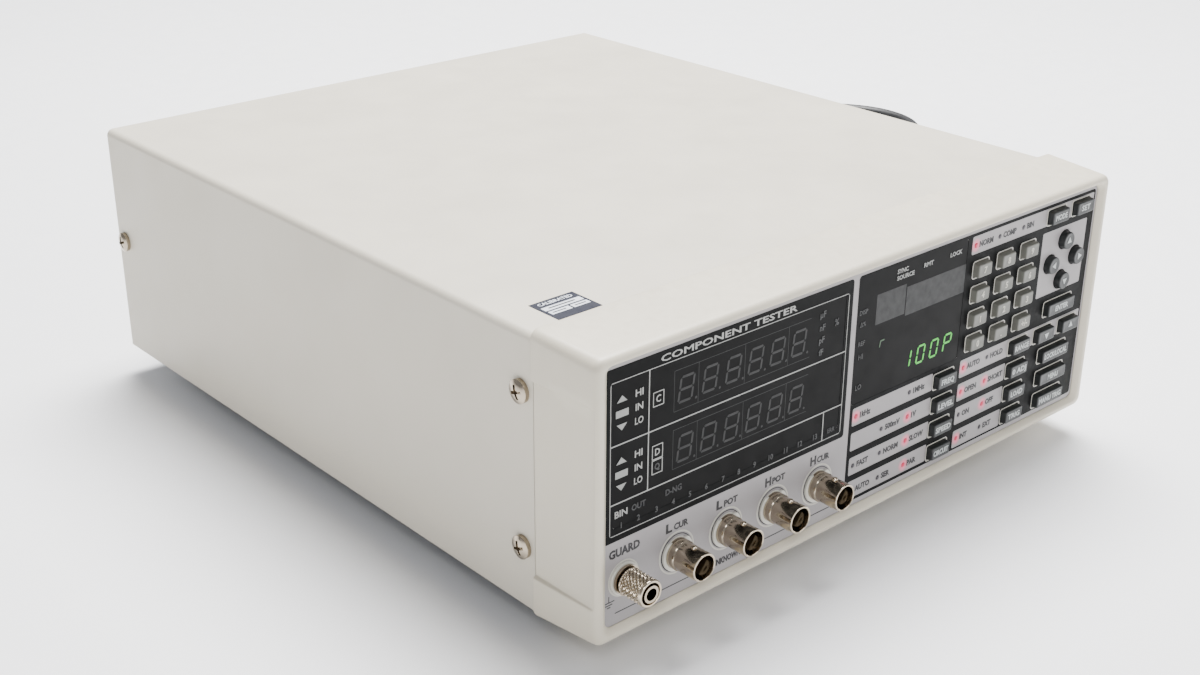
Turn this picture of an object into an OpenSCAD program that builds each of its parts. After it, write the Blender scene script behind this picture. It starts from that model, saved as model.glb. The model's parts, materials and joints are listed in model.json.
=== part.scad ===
// Bench capacitance and component tester, front towards -Y, feet on z = 0, millimetres.
// Front controls, terminals and displays sit on one panel inside a moulded bezel.

/* [Case] */
// Width of the sheet-metal case
case_w = 260; // [240:1:320]
// Height of the sheet-metal case
case_h = 95.6; // [94:0.2:120]
// Depth from the front face of the bezel to the back edge of the cover
case_d = 301; // [240:1:380]
// Thickness of the cover and chassis sheet
sheet_t = 1.2; // [0.8:0.1:2]
// Outside radius of the bends of the cover
bend_r = 2.6; // [1:0.1:5]
// Gap between neighbouring sheets
sheet_gap = 0.25; // [0.1:0.05:0.6]
// Height of the rubber feet
foot_h = 11.7; // [6:0.1:20]
// Diameter of the rubber feet
foot_dia = 19; // [12:0.5:26]
// Distance of the feet from the sides
foot_inset_x = 28; // [20:1:60]
// Distance of the front feet behind the bezel
foot_set = 12; // [10:1:50]
// Distance of the rear feet from the back
foot_inset_y = 40; // [34:1:70]

/* [Bezel] */
// Depth of the moulded front bezel
bezel_d = 28; // [22:0.5:36]
// How far the corner ears stand out from the sides of the case
ear_out = 1.3; // [0.6:0.1:2]
// How far the bezel stands above the top of the case
ear_up = 2.2; // [0.6:0.1:3]
// How far the bezel hangs below the bottom of the case
ear_down = 1.7; // [0.6:0.1:3]
// Taper of each side of the bezel from the back to the front
bezel_taper = 1.5; // [0.5:0.1:3]
// Height of the ears at the top of each side
ear_top_h = 16.6; // [10:0.2:24]
// Height of the ears at the bottom of each side
ear_bot_h = 15.2; // [10:0.2:24]
// Width of the front rim beside the panel
rim_w = 2.6; // [1.8:0.1:3.2]
// Height of the sloped lip under the panel
rim_bot_h = 1.9; // [1.4:0.1:4]
// Depth of the panel behind the front face of the rim
panel_set = 2; // [1:0.1:4]

/* [Front panel] */
// Width of the visible panel
panel_w = 248.6; // [240:0.2:256]
// Height of the visible panel
panel_h = 88.6; // [86:0.2:92]
// Thickness of the panel plate
panel_t = 2; // [1.5:0.1:3]
// Hidden border of the plate behind the rim
panel_lap = 1.4; // [0.8:0.1:1.6]
// Width of the left display window
win_l_w = 102; // [90:0.5:104]
// Height of the left display window
win_l_h = 49; // [40:0.5:50]
// Width of the right display window
win_r_w = 58; // [50:0.5:59]
// Height of the right display window
win_r_h = 46; // [38:0.5:47]
// Thickness of the display windows
window_t = 1.6; // [1:0.1:2]

/* [Keys] */
// Width of a number key
num_w = 8.2; // [6:0.1:8.8]
// Width of a function key
fn_w = 10.8; // [8:0.1:11.6]
// Width of a wide key
wide_w = 17.2; // [14:0.1:18]
// Height of the number keys and the function keys
key_h = 5.5; // [4:0.1:6]
// Diameter of the round cursor keys
cursor_dia = 7.2; // [5:0.1:7.8]
// How far the key caps stand out from the panel
key_proud = 2.4; // [1.4:0.1:4]
// Gap around each key in its opening
key_gap = 0.35; // [0.3:0.05:0.5]
// Travel of the keys
key_travel = 1.0; // [0.5:0.1:1.2]
// Pitch of the number keys across
num_px = 14.2; // [12:0.1:14.4]
// Pitch of the key rows
row_p = 9.52; // [8.8:0.02:9.8]

/* [Terminals] */
// Pitch of the coaxial connectors
bnc_pitch = 22; // [20:0.5:22]
// Outside diameter of the connector barrels
bnc_dia = 9.7; // [9.6:0.05:9.8]
// Inside diameter of the connector barrels
bnc_bore = 8.1; // [7.9:0.05:8.2]
// How far the connectors reach in front of the bezel
front_proj = 10.6; // [8:0.1:16]
// Diameter of the insulating bushes
bush_dia = 12.6; // [11:0.1:14]
// Diameter of the socket in the guard post
post_socket = 4.1; // [4:0.05:4.3]
// Outside diameter of the guard post
post_dia = 5.8; // [5.4:0.1:6.4]
// Outside diameter of the knurled knob
knob_dia = 9.4; // [8.4:0.1:10.4]
// Running clearance between the knob and the post
knob_play = 0.06; // [0.03:0.01:0.1]
// Lift of the knob when it is unscrewed
knob_lift = 2.8; // [1:0.1:3]

/* [Rear] */
// How far the connectors stand out behind the case
rear_proj = 5.6; // [4:0.1:10]
// Thickness of the rear panel
rear_t = 1.5; // [1:0.1:2.5]
// Distance of the power inlet from the middle
inlet_x = 95; // [80:1:96]
// Height of the power inlet above the bottom of the case
inlet_up = 24; // [20:0.5:40]
// Width of the power inlet opening
inlet_w = 24.4; // [24:0.1:25]
// Height of the power inlet opening
inlet_h = 16.8; // [16.4:0.1:17.4]
// Width of the power rocker
rocker_w = 9; // [7:0.1:11]
// Height of the power rocker
rocker_h = 16.4; // [13:0.1:18]
// Throw of the power rocker in degrees
rocker_throw = 18; // [10:1:24]

/* [Inside] */
// Thickness of the circuit boards
board_t = 1.6; // [1:0.1:2.4]
// Distance of the key board behind the panel plate
key_board_set = 8; // [7:0.5:12]
// Height of the main board above the chassis floor
main_board_up = 6; // [4:0.5:10]
// Width of the main board
main_board_w = 170; // [120:1:176]
// Depth of the main board
main_board_d = 200; // [140:1:220]

/* [Mains lead] */
// Diameter of the mains lead
cord_dia = 7; // [6.8:0.1:7.2]

/* [Hidden] */
NUM = ["key_0", "key_1", "key_2", "key_3", "key_4", "key_5", "key_6", "key_7", "key_8", "key_9",
       "key_point", "key_sign"];
FUN = ["key_freq", "key_level", "key_speed", "key_circuit", "key_range", "key_zero", "key_load",
       "key_trig", "key_down", "key_up", "key_mode", "key_set"];
WID = ["key_enter", "key_lock", "key_menu", "key_manual"];
CUR = ["cursor_up", "cursor_left", "cursor_right", "cursor_down"];
FIX = ["front_bezel", "front_panel", "display_windows", "top_cover", "bottom_chassis", "rear_panel",
       "cover_screws", "feet", "bnc_bodies", "bnc_dielectrics", "bnc_contacts", "terminal_bushes",
       "guard_stud", "guard_washer", "guard_knob", "digit_modules", "key_board", "status_lamps",
       "main_board", "power_supply", "power_inlet", "power_rocker", "rear_connectors", "cal_label",
       "cord_connector", "mains_cord", "mains_coil", "mains_plug"];
$fn = 48;
eps = 0.01;

// vertical and depth datums
cz0 = foot_h;
cz1 = foot_h + case_h;
fy = front_proj - (front_proj + case_d + rear_proj) / 2;
by = fy + case_d;
ez0 = cz0 - ear_down;
ez1 = cz1 + ear_up;
ew = case_w / 2 + ear_out;
pz0 = ez0 + 6;
pzc = pz0 + panel_h / 2;
py = fy + panel_set;
pyb = py + panel_t;
seam_y = fy + bezel_d;
cvi = case_w / 2 - sheet_t;
chi = cvi - sheet_gap;

// window places on the panel
wlx = -70.4;
wlz = ez0 + 64.6;
wrx = 16;
wrz = ez0 + 69;

// key places: columns across and rows up, from the bottom row
kz = [11.9, 11.9 + row_p, 11.9 + 2 * row_p, 11.9 + 3 * row_p];
num_x = 53.75;
num_z = 50.35;
fn_x = 37.9;
mid_x = 82.75;
wid_x = 106.4;
cur_x = 106.05;
cur_z = 68.9;
cur_r = 8;
top_z = 88.3;
pair_x = 98.6;
pair_p = 15.8;
NUMP = [[0, 0], [0, 1], [1, 1], [2, 1], [0, 2], [1, 2], [2, 2], [0, 3], [1, 3], [2, 3], [1, 0], [2, 0]];
FUNP = [[fn_x, kz[3]], [fn_x, kz[2]], [fn_x, kz[1]], [fn_x, kz[0]], [mid_x, kz[3]], [mid_x, kz[2]],
        [mid_x, kz[1]], [mid_x, kz[0]], [pair_x, kz[3]], [pair_x + pair_p, kz[3]], [pair_x, top_z],
        [pair_x + pair_p, top_z]];
WIDP = [[wid_x, num_z], [wid_x, kz[2]], [wid_x, kz[1]], [wid_x, kz[0]]];
CURP = [[0, 1], [-1, 0], [1, 0], [0, -1]];
function num_at(i) = [num_x + NUMP[i][0] * num_px, ez0 + num_z + NUMP[i][1] * row_p];
function fun_at(i) = [FUNP[i][0], ez0 + FUNP[i][1]];
function wid_at(i) = [WIDP[i][0], ez0 + WIDP[i][1]];
function cur_at(i) = [cur_x + CURP[i][0] * cur_r, ez0 + cur_z + CURP[i][1] * cur_r];

// terminal places
term_z = ez0 + 21.4;
bnc_x0 = -94.2;
guard_x = -116.7;
bush_r = bush_dia / 2;
bush_front = 0.8;
sleeve_r = bnc_dia / 2 + 0.7;
flat_up = bush_r * 0.72;

// key board and module depths
kby = pyb + key_board_set;
boss_lo = pz0 + 4;
boss_hi = pz0 + panel_h - 4;
BOSSES = [[-120.5, boss_lo], [-13.5, boss_lo], [57, boss_lo], [121.3, boss_lo], [-120.5, boss_hi],
          [-13.5, boss_hi], [57, boss_hi], [121.3, ez0 + 56]];
key_back = pyb + 1.6;
switch_y = key_back + key_travel + 0.3;

// lamp places: x and row height of each indicator
LAMPS = [[49.7, 88.4], [63.75, 88.4], [78.1, 88.4], [-9.9, 41.0], [18.9, 41.0], [4.6, 31.4], [19, 31.4],
         [-9.6, 21.9], [4.7, 21.9], [19, 21.9], [-9.6, 12.1], [4.7, 12.1], [19, 12.1], [49.8, 41.0],
         [64, 41.0], [49.8, 31.3], [64, 31.3], [49.8, 21.9], [64, 21.9], [49.8, 12.2], [64, 12.2]];
lamp_r = 0.95;

// screws of the cover: depth and height on each side
screw_y1 = seam_y + 6;
screw_y2 = by - 5.8;
SCREWS = [[screw_y1, ez0 + 23.2], [screw_y1, ez0 + 77.4], [screw_y2, ez0 + 50.4]];
screw_r = 2;
lug_t = 3;

// feet
fxx = case_w / 2 - foot_inset_x;
FEET = [[-fxx, seam_y + foot_set], [fxx, seam_y + foot_set], [-fxx, by - foot_inset_y],
        [fxx, by - foot_inset_y]];

// rear parts
ry = by - 0.6 - rear_t;
inz = cz0 + inlet_up;
swx = inlet_x - 34;
rocker_y = by - 1.6;
peg_r = 1.4;
peg_out = 1.1;

// boards and supply: the main board keeps its share of the spare depth in front of it
board_side_gap = 16.35;
board_front_share = 0.3385;
board_x = -(chi - sheet_t - board_side_gap - main_board_w / 2);
board_y = seam_y + main_board_d / 2 + (ry - seam_y - main_board_d) * board_front_share;
supply_side_gap = 33.55;
supply_rear_gap = 111;
supply_x = chi - supply_side_gap;
supply_y = by - supply_rear_gap;

module rrect(w, h, r) {
  square([w - 2 * r, h], center = true);
  square([w, h - 2 * r], center = true);
  for (sx = [-1, 1], sz = [-1, 1]) translate([sx * (w / 2 - r), sz * (h / 2 - r)]) circle(r = r, $fn = 32);
}
// plate of outline w by h standing in the XZ plane, from y0 to y1
module plate(w, h, r, y0, y1) {
  translate([0, y1, 0]) rotate([90, 0, 0]) linear_extrude(y1 - y0) rrect(w, h, r);
}
// round bar along Y from y0 to y1
module rod(r, y0, y1) {
  translate([0, y0, 0]) rotate([-90, 0, 0]) cylinder(r = r, h = y1 - y0);
}
module box(x0, x1, y0, y1, z0, z1) {
  translate([x0, y0, z0]) cube([x1 - x0, y1 - y0, z1 - z0]);
}

/* ---- bezel ---- */
module bezel_slice(y, inset, r) {
  tw = bezel_taper * (1 - (y - fy) / bezel_d) + inset;
  translate([0, y, (ez0 + ez1) / 2]) rotate([90, 0, 0])
    linear_extrude(0.02) rrect(2 * (ew - tw), ez1 - ez0 - 2 * tw, r);
}
module bezel_outer() {
  hull() {
    bezel_slice(fy + 0.02, 1.5, 2.6);
    bezel_slice(fy + 0.3, 0.8, 3.2);
    bezel_slice(fy + 0.9, 0.25, 3.7);
    bezel_slice(fy + 1.8, 0, 4);
    bezel_slice(seam_y, 0, 3.2);
  }
}
module bezel_mouth() {
  hull() {
    translate([0, 0, pzc]) plate(panel_w, panel_h, 2.4, py, py + 0.3);
    translate([0, 0, (pz0 - rim_bot_h + pz0 + panel_h + 2.2) / 2])
      plate(panel_w + 2 * rim_w, panel_h + 2.2 + rim_bot_h, 3, fy - 0.5, fy + 0.05);
  }
}
module bezel_recess(s) {
  // shallow recess in the side between the ears, flush with the case at the back
  translate([0, 0, ez0 + ear_bot_h]) linear_extrude(ez1 - ez0 - ear_top_h - ear_bot_h)
    polygon([[s * (case_w / 2 - 0.7), fy + 2], [s * case_w / 2, seam_y + 1], [s * (ew + 3), seam_y + 1],
             [s * (ew + 3), fy + 2]]);
}
module bezel_lug(s, z) {
  difference() {
    box(min(s * chi, s * (chi - lug_t)), max(s * chi, s * (chi - lug_t)), seam_y - 2, screw_y1 + 6,
        z - 6, z + 6);
    translate([s * (chi + 1), screw_y1, z]) rotate([0, -s * 90, 0]) cylinder(r = screw_r + 0.05, h = lug_t + 2);
  }
}
module front_bezel() color("ivory") {
  difference() {
    bezel_outer();
    bezel_mouth();
    box(-panel_w / 2 - panel_lap - 0.1, panel_w / 2 + panel_lap + 0.1, py, seam_y + 1,
        pz0 - panel_lap - 0.1, pz0 + panel_h + panel_lap + 0.1);
    for (s = [-1, 1]) bezel_recess(s);
  }
  for (s = [-1, 1], k = [0, 1]) {
    bezel_lug(s, SCREWS[k][1]);
    box(min(s * (panel_w / 2 - 0.4), s * chi), max(s * (panel_w / 2 - 0.4), s * chi), seam_y - 6, seam_y - 1,
        SCREWS[k][1] - 6, SCREWS[k][1] + 6);
  }
}

/* ---- front panel ---- */
module key_hole(w, h, r, p) {
  translate([p[0], 0, p[1]]) plate(w + 2 * key_gap, h + 2 * key_gap, r + key_gap, py - 1, pyb + 1);
}
module front_panel() color("silver") {
  difference() {
    union() {
      translate([0, 0, pzc]) plate(panel_w + 2 * panel_lap, panel_h + 2 * panel_lap, 1.2, py, pyb);
      for (p = BOSSES) translate([p[0], 0, p[1]]) rod(2.4, pyb - eps, kby);
    }
    for (i = [0:11]) key_hole(num_w, key_h, 0.9, num_at(i));
    for (i = [0:11]) key_hole(fn_w, key_h, 0.9, fun_at(i));
    for (i = [0:3]) key_hole(wide_w, key_h, 0.9, wid_at(i));
    for (i = [0:3]) translate([cur_at(i)[0], 0, cur_at(i)[1]]) rod(cursor_dia / 2 + key_gap, py - 1, pyb + 1);
    for (i = [0:3]) translate([bnc_x0 + i * bnc_pitch, 0, term_z]) rod(sleeve_r, py - 1, pyb + 1);
    translate([guard_x, 0, term_z]) rod(post_dia / 2 + 0.8, py - 1, pyb + 1);
    translate([wlx, 0, wlz]) plate(win_l_w, win_l_h, 1, py - 1, pyb + 1);
    translate([wrx, 0, wrz]) plate(win_r_w, win_r_h, 1, py - 1, pyb + 1);
    for (p = LAMPS) translate([p[0], 0, ez0 + p[1]]) rod(lamp_r, py - 1, pyb + 1);
  }
}
module display_windows() color([0.1, 0.1, 0.1, 0.9]) {
  translate([wlx, 0, wlz]) plate(win_l_w, win_l_h, 1, py, py + window_t);
  translate([wrx, 0, wrz]) plate(win_r_w, win_r_h, 1, py, py + window_t);
}

/* ---- keys ---- */
// cap in front, flange behind the panel that stops the key
module rect_key(w, p, c) color(c) {
  translate([p[0], 0, p[1]]) {
    plate(w, key_h, 0.9, py - key_proud, pyb + 0.5);
    plate(w + 1.6, key_h + 1.2, 0.6, pyb + 0.4, key_back);
  }
}
module cursor_key(p) color("dimgray") {
  translate([p[0], 0, p[1]]) {
    rod(cursor_dia / 2, py - key_proud, pyb + 0.5);
    rod(cursor_dia / 2 + 0.8, pyb + 0.4, key_back);
  }
}
module num_key(i) rect_key(num_w, num_at(i), "darkgray");
module fun_key(i) rect_key(fn_w, fun_at(i), "dimgray");
module wid_key(i) rect_key(wide_w, wid_at(i), "dimgray");

/* ---- case ---- */
module cover_section() {
  difference() {
    union() {
      translate([0, (cz0 + cz1) / 2]) square([case_w - 2 * bend_r, case_h], center = true);
      translate([0, (cz0 + cz1 - bend_r) / 2]) square([case_w, case_h - bend_r], center = true);
      for (s = [-1, 1]) translate([s * (case_w / 2 - bend_r), cz1 - bend_r]) circle(r = bend_r);
    }
    translate([0, (cz0 - 5 + cz1 - sheet_t) / 2]) square([2 * cvi, case_h + 5 - sheet_t], center = true);
  }
}
module top_cover() color("ivory") {
  difference() {
    translate([0, by, 0]) rotate([90, 0, 0]) linear_extrude(case_d - bezel_d - 0.2) cover_section();
    for (p = SCREWS) translate([-case_w, p[0], p[1]]) rotate([0, 90, 0]) cylinder(r = screw_r + 0.2, h = 2 * case_w);
  }
}
module bottom_chassis() color("lightgray") {
  difference() {
    union() {
      box(-chi, chi, seam_y + 0.4, by - 0.3, cz0, cz0 + sheet_t);
      for (s = [-1, 1])
        box(min(s * chi, s * (chi - sheet_t)), max(s * chi, s * (chi - sheet_t)), seam_y + 0.4, ry - 0.3,
            cz0, cz0 + 13);
      box(-chi, chi, seam_y + 0.4, seam_y + 0.4 + sheet_t, cz0, cz0 + 9);
      for (x = [-1, 1], y = [-1, 1])
        translate([board_x + x * (main_board_w / 2 - 6), board_y + y * (main_board_d / 2 - 6), cz0])
          cylinder(r = 3, h = sheet_t + main_board_up);
    }
    for (p = FEET) translate([p[0], p[1], cz0 - 1]) cylinder(r = 2.1, h = sheet_t + 2);
    for (i = [0:9], s = [-1, 1])
      translate([-58 + i * 12, s * 60, cz0 - 1]) linear_extrude(sheet_t + 2) rrect(3, 40, 1.4);
  }
}
module rear_panel() color("lightgray") {
  difference() {
    union() {
      box(-chi, chi, ry, ry + rear_t, cz0 + sheet_t + 0.2, cz1 - sheet_t - 0.3);
      for (s = [-1, 1])
        box(min(s * chi, s * (chi - lug_t)), max(s * chi, s * (chi - lug_t)), screw_y2 - 6, ry + eps,
            SCREWS[2][1] - 7, SCREWS[2][1] + 7);
    }
    for (s = [-1, 1]) translate([s * (chi + 1), screw_y2, SCREWS[2][1]]) rotate([0, -s * 90, 0])
      cylinder(r = screw_r + 0.05, h = lug_t + 2);
    translate([inlet_x, 0, inz]) plate(inlet_w + 3.4, inlet_h + 3.4, 2, ry - 1, by);
    translate([swx, 0, inz]) plate(rocker_w + 3.2, rocker_h + 3.2, 1, ry - 1, by);
    translate([-88, 0, inz]) plate(20, 11, 2, ry - 1, by);
    translate([-30, 0, inz]) plate(56, 14, 2, ry - 1, by);
    translate([-70, 0, inz + 34]) plate(50, 12, 2, ry - 1, by);
    for (i = [0:13], k = [0, 1])
      translate([12 + i * 7, 0, inz + 28 + k * 19]) plate(3, 15, 1.4, ry - 1, by);
  }
}
module cover_screw(s, p) {
  translate([s * case_w / 2, p[0], p[1]]) rotate([0, s * 90, 0]) difference() {
    union() {
      translate([0, 0, -sheet_t - sheet_gap - 2.6]) cylinder(r = screw_r, h = sheet_t + sheet_gap + 2.7);
      rotate_extrude() intersection() {
        translate([0, -6.35]) circle(r = 8.75, $fn = 96);
        square([4, 2.4]);
      }
    }
    for (a = [20, 110]) rotate([0, 0, a]) translate([-0.5, -2.4, 1]) cube([1, 4.8, 3]);
  }
}
module cover_screws() color("silver") {
  for (s = [-1, 1], p = SCREWS) cover_screw(s, p);
}
module feet() color("dimgray") {
  for (p = FEET) translate([p[0], p[1], 0]) {
    difference() {
      rotate_extrude() polygon([[0, 0], [foot_dia / 2 - 1.2, 0], [foot_dia / 2, 1.2], [foot_dia / 2 - 0.8, foot_h],
                                [0, foot_h]]);
      translate([0, 0, -1]) cylinder(r = 3.6, h = 5);
    }
    translate([0, 0, foot_h - 1]) cylinder(r = 2, h = 1 + sheet_t + 2);
  }
}

/* ---- terminals ---- */
module at_bnc() {
  for (i = [0:3]) translate([bnc_x0 + i * bnc_pitch, 0, term_z]) children();
}
module bnc_bodies() color("silver") {
  at_bnc() {
    difference() {
      union() {
        rod(bnc_dia / 2, fy - front_proj, pyb + 6);
        rod(bnc_dia / 2 + 0.35, fy - front_proj + 9.2, py - 0.2);
        translate([0, pyb + 0.9, 0]) rotate([-90, 30, 0]) cylinder(r = 8, h = 2.4, $fn = 6);
        for (s = [-1, 1]) translate([0, fy - front_proj + 5, s * 4.4]) rotate([0, s * 90 - 90, 0])
          cylinder(r = 1, h = 1.35);
      }
      rod(bnc_bore / 2, fy - front_proj - 1, fy - front_proj + 9);
      rod(3.2, fy - front_proj + 8, pyb + 7);
    }
  }
}
module bnc_dielectrics() color("white") {
  at_bnc() difference() {
    union() {
      rod(3.2, fy - front_proj + 9, pyb + 7);
      rod(2.35, fy - front_proj + 4.6, fy - front_proj + 9 + eps);
    }
    rod(1.05, fy - front_proj, pyb + 8);
  }
}
module bnc_contacts() color("gold") {
  at_bnc() difference() {
    rod(1.05, fy - front_proj + 5, pyb + 10);
    rod(0.7, fy - front_proj, fy - front_proj + 9);
  }
}
module terminal_bushes() color("white") {
  at_bnc() difference() {
    union() {
      difference() {
        rod(bush_r, py - bush_front, py);
        box(-10, 10, py - 2, py + 1, flat_up, 10);
      }
      rod(sleeve_r, py - eps, pyb + 0.9);
    }
    rod(bnc_dia / 2, py - 3, pyb + 2);
    rod(bnc_dia / 2 + 0.35, py - 3, py - 0.2);
  }
  translate([guard_x, 0, term_z]) difference() {
    union() {
      rod(5.6, py - bush_front, py);
      rod(post_dia / 2 + 0.8, py - eps, pyb + 0.9);
    }
    rod(post_dia / 2, py - 3, pyb + 2);
  }
}
module guard_stud() color("silver") {
  translate([guard_x, 0, term_z]) difference() {
    union() {
      rod(post_dia / 2, fy - front_proj, pyb + 9);
      translate([0, pyb + 0.9, 0]) rotate([-90, 0, 0]) cylinder(r = 5, h = 3, $fn = 6);
    }
    rod(post_socket / 2, fy - front_proj - 1, fy - front_proj + 14);
  }
}
module guard_washer() color("silver") {
  translate([guard_x, 0, term_z]) difference() {
    rod(5.1, py - bush_front - 1.3, py - bush_front - 0.3);
    rod(post_dia / 2 + knob_play, py - 6, py + 1);
  }
}
module guard_knob() color("silver") {
  translate([guard_x, 0, term_z]) difference() {
    union() {
      rod(knob_dia / 2, fy - front_proj + 1.2, py - bush_front - 1.7);
      translate([0, fy - front_proj + 0.2, 0]) rotate([-90, 0, 0])
        cylinder(r1 = knob_dia / 2 - 0.9, r2 = knob_dia / 2, h = 1 + eps, $fn = 48);
    }
    rod(post_dia / 2 + knob_play, fy - front_proj - 1, py + 1);
  }
}

/* ---- behind the panel ---- */
module digit_block(x, z, w, h) {
  translate([x, 0, z]) plate(w, h, 0.4, pyb, kby);
}
module digit_modules() color("dimgray") {
  for (k = [0:2], r = [0, 1])
    digit_block(-86.8 + k * 20.15, ez0 + (r == 0 ? 78.1 : 58.1), 19.9, 14);
  for (r = [0, 1], k = [0, 1])
    digit_block(3.5 + k * 30, ez0 + (r == 0 ? 77.3 : 55), 29.6, 11);
}
module key_board() color("darkgreen") {
  difference() {
    translate([0, 0, pzc]) plate(panel_w - 4, panel_h - 3, 1, kby, kby + board_t);
    at_bnc() rod(5.5, kby - 1, kby + board_t + 1);
    translate([guard_x, 0, term_z]) rod(5.5, kby - 1, kby + board_t + 1);
  }
  for (i = [0:11]) switch_at(num_at(i));
  for (i = [0:11]) switch_at(fun_at(i));
  for (i = [0:3]) switch_at(wid_at(i));
  for (i = [0:3]) switch_at(cur_at(i));
}
module switch_at(p) {
  box(p[0] - 3, p[0] + 3, kby - (kby - switch_y - 0.8), kby + eps, p[1] - 3, p[1] + 3);
  translate([p[0], 0, p[1]]) rod(1.7, switch_y, kby);
}
module status_lamps() color("red") {
  for (p = LAMPS) translate([p[0], 0, ez0 + p[1]]) rod(lamp_r, py, kby);
}
module main_board() color("darkgreen") {
  z = cz0 + sheet_t + main_board_up;
  translate([board_x, board_y, z]) {
    translate([-main_board_w / 2, -main_board_d / 2, 0]) cube([main_board_w, main_board_d, board_t]);
    for (i = [0:3], j = [0:4])
      translate([-64 + i * 36, -76 + j * 34, board_t - eps]) cube([16 + 4 * (i % 2), 20 - 5 * (j % 2), 3.4]);
    for (i = [0:5]) translate([-60 + i * 22, 88, board_t - eps]) cylinder(r = 4, h = 12);
    translate([-70, -94, board_t - eps]) cube([92, 8, 9]);
  }
}
module power_supply() color("gray") {
  z = cz0 + sheet_t;
  translate([supply_x, supply_y, z]) {
    translate([-24, -28, 0]) cube([48, 56, 3]);
    translate([-19, -24, 3 - eps]) cube([38, 48, 40]);
    translate([-15, -30, 9]) cube([30, 60, 26]);
  }
}

/* ---- rear fittings ---- */
module power_inlet() color("dimgray") {
  translate([inlet_x, 0, inz]) {
    difference() {
      union() {
        plate(inlet_w + 7.4, inlet_h + 8, 3, ry + rear_t, by + 2.4);
        plate(inlet_w + 3.2, inlet_h + 3.2, 2, by - 20, ry + rear_t + eps);
      }
      plate(inlet_w, inlet_h, 3, by - 17, by + 4);
    }
    for (x = [-7, 0, 7]) box(x - 1, x + 1, by - 18, by - 3, x == 0 ? 0 : -4, x == 0 ? 4 : 0);
  }
  translate([swx, 0, inz]) difference() {
    union() {
      plate(rocker_w + 6, rocker_h + 6, 1.2, ry + rear_t, by + 1.4);
      plate(rocker_w + 3, rocker_h + 3, 1, by - 16, ry + rear_t + eps);
    }
    plate(rocker_w + 0.8, rocker_h + 1.2, 0.4, by - 14, by + 4);
    translate([-rocker_w, rocker_y, 0]) rotate([0, 90, 0]) cylinder(r = peg_r + 0.06, h = 2 * rocker_w);
  }
}
module power_rocker() color("black") {
  // wedge-faced rocker with a round pivot peg at each side
  translate([swx, rocker_y, inz]) rotate([-rocker_throw / 2, 0, 0]) translate([-rocker_w / 2, 0, 0])
    rotate([90, 0, 90]) {
      linear_extrude(rocker_w)
        polygon([[3.4, -rocker_h / 2], [1.9, 0], [3.4, rocker_h / 2], [0, rocker_h / 2], [-4, 3], [-4, -3],
                 [0, -rocker_h / 2]]);
      translate([0, 0, -peg_out]) cylinder(r = peg_r, h = rocker_w + 2 * peg_out);
    }
}
module shell_port(x, z, w, h, r) {
  translate([x, 0, z]) difference() {
    union() {
      plate(w + 12, h + 4, 1, ry + rear_t, ry + rear_t + 1.2);
      plate(w, h, r, ry - 8, by + rear_proj);
    }
    plate(w - 2, h - 2, r - 0.8, by - 3, by + rear_proj + 1);
  }
  translate([x, 0, z]) plate(w - 4.4, h - 4.4, 0.8, by - 3 - eps, by + rear_proj - 1.5);
}
module rear_connectors() color("silver") {
  shell_port(-88, inz, 17, 9, 2.4);
  shell_port(-30, inz, 52, 12, 2.4);
  shell_port(-70, inz + 34, 46, 10, 2.4);
}
module cal_label() color("navy") {
  box(-116.8, -99.3, seam_y + 3.8, seam_y + 18.2, cz1, cz1 + 0.12);
}

/* ---- mains lead ---- */
relief_y = by + 62;
module cord_connector() color("black") {
  translate([inlet_x, 0, inz]) difference() {
    union() {
      plate(inlet_w - 0.6, inlet_h - 0.6, 2.8, by - 15.5, by + 3);
      plate(inlet_w + 2.6, inlet_h + 2.6, 3.4, by + 2.9, by + 34);
      translate([0, by + 34, 0]) rotate([-90, 0, 0]) cylinder(r1 = 6.4, r2 = cord_dia / 2 + 0.8, h = 28);
    }
    for (x = [-7, 0, 7]) box(x - 1.3, x + 1.3, by - 16, by - 2.5, x == 0 ? -0.3 : -4.3, x == 0 ? 4.3 : 0.3);
  }
}
// middle line of the lead, from the strain relief to the coil
LEAD = [[95, 215, 35.7], [95, 226, 35], [95, 238, 31.5], [95, 250, 25], [95, 262, 17], [95.5, 274, 10],
        [98, 286, 5.4], [103, 297, 3.8], [111, 306, 3.6], [122, 312, 3.6], [136, 314, 3.6], [165, 313, 3.6],
        [200, 308, 3.6], [235, 298, 3.6], [268, 284, 3.6], [300, 268, 3.6], [330, 253, 3.6],
        [356, 241.5, 3.6], [379.5, 231, 3.6], [397, 219, 3.6], [409, 204, 3.6], [415, 187, 3.6],
        [413.5, 168, 3.6], [404, 152, 3.6], [388, 140.5, 3.6], [368, 132, 3.6], [345, 128.5, 3.6],
        [320, 127.5, 3.6], [290, 127.5, 3.6]];
TAIL = [[248, 136, 10.8], [236, 136, 10.8], [224, 136, 10.4], [212, 136, 10], [199, 136, 10]];
coil_x = 275;
coil_y = 176;
coil_r = 38;
function unit(v) = v / norm(v);
function cross_z(t) = unit(cross([0, 0, 1], t));
function dir_at(P, i) = unit(P[min(i + 1, len(P) - 1)] - P[max(i - 1, 0)]);
// ring i of eight points around the line P
function ring(P, i, r) = [for (k = [0:7]) P[i] + r * cos(45 * k + 22.5) * cross_z(dir_at(P, i))
    + r * sin(45 * k + 22.5) * cross(dir_at(P, i), cross_z(dir_at(P, i)))];
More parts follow.
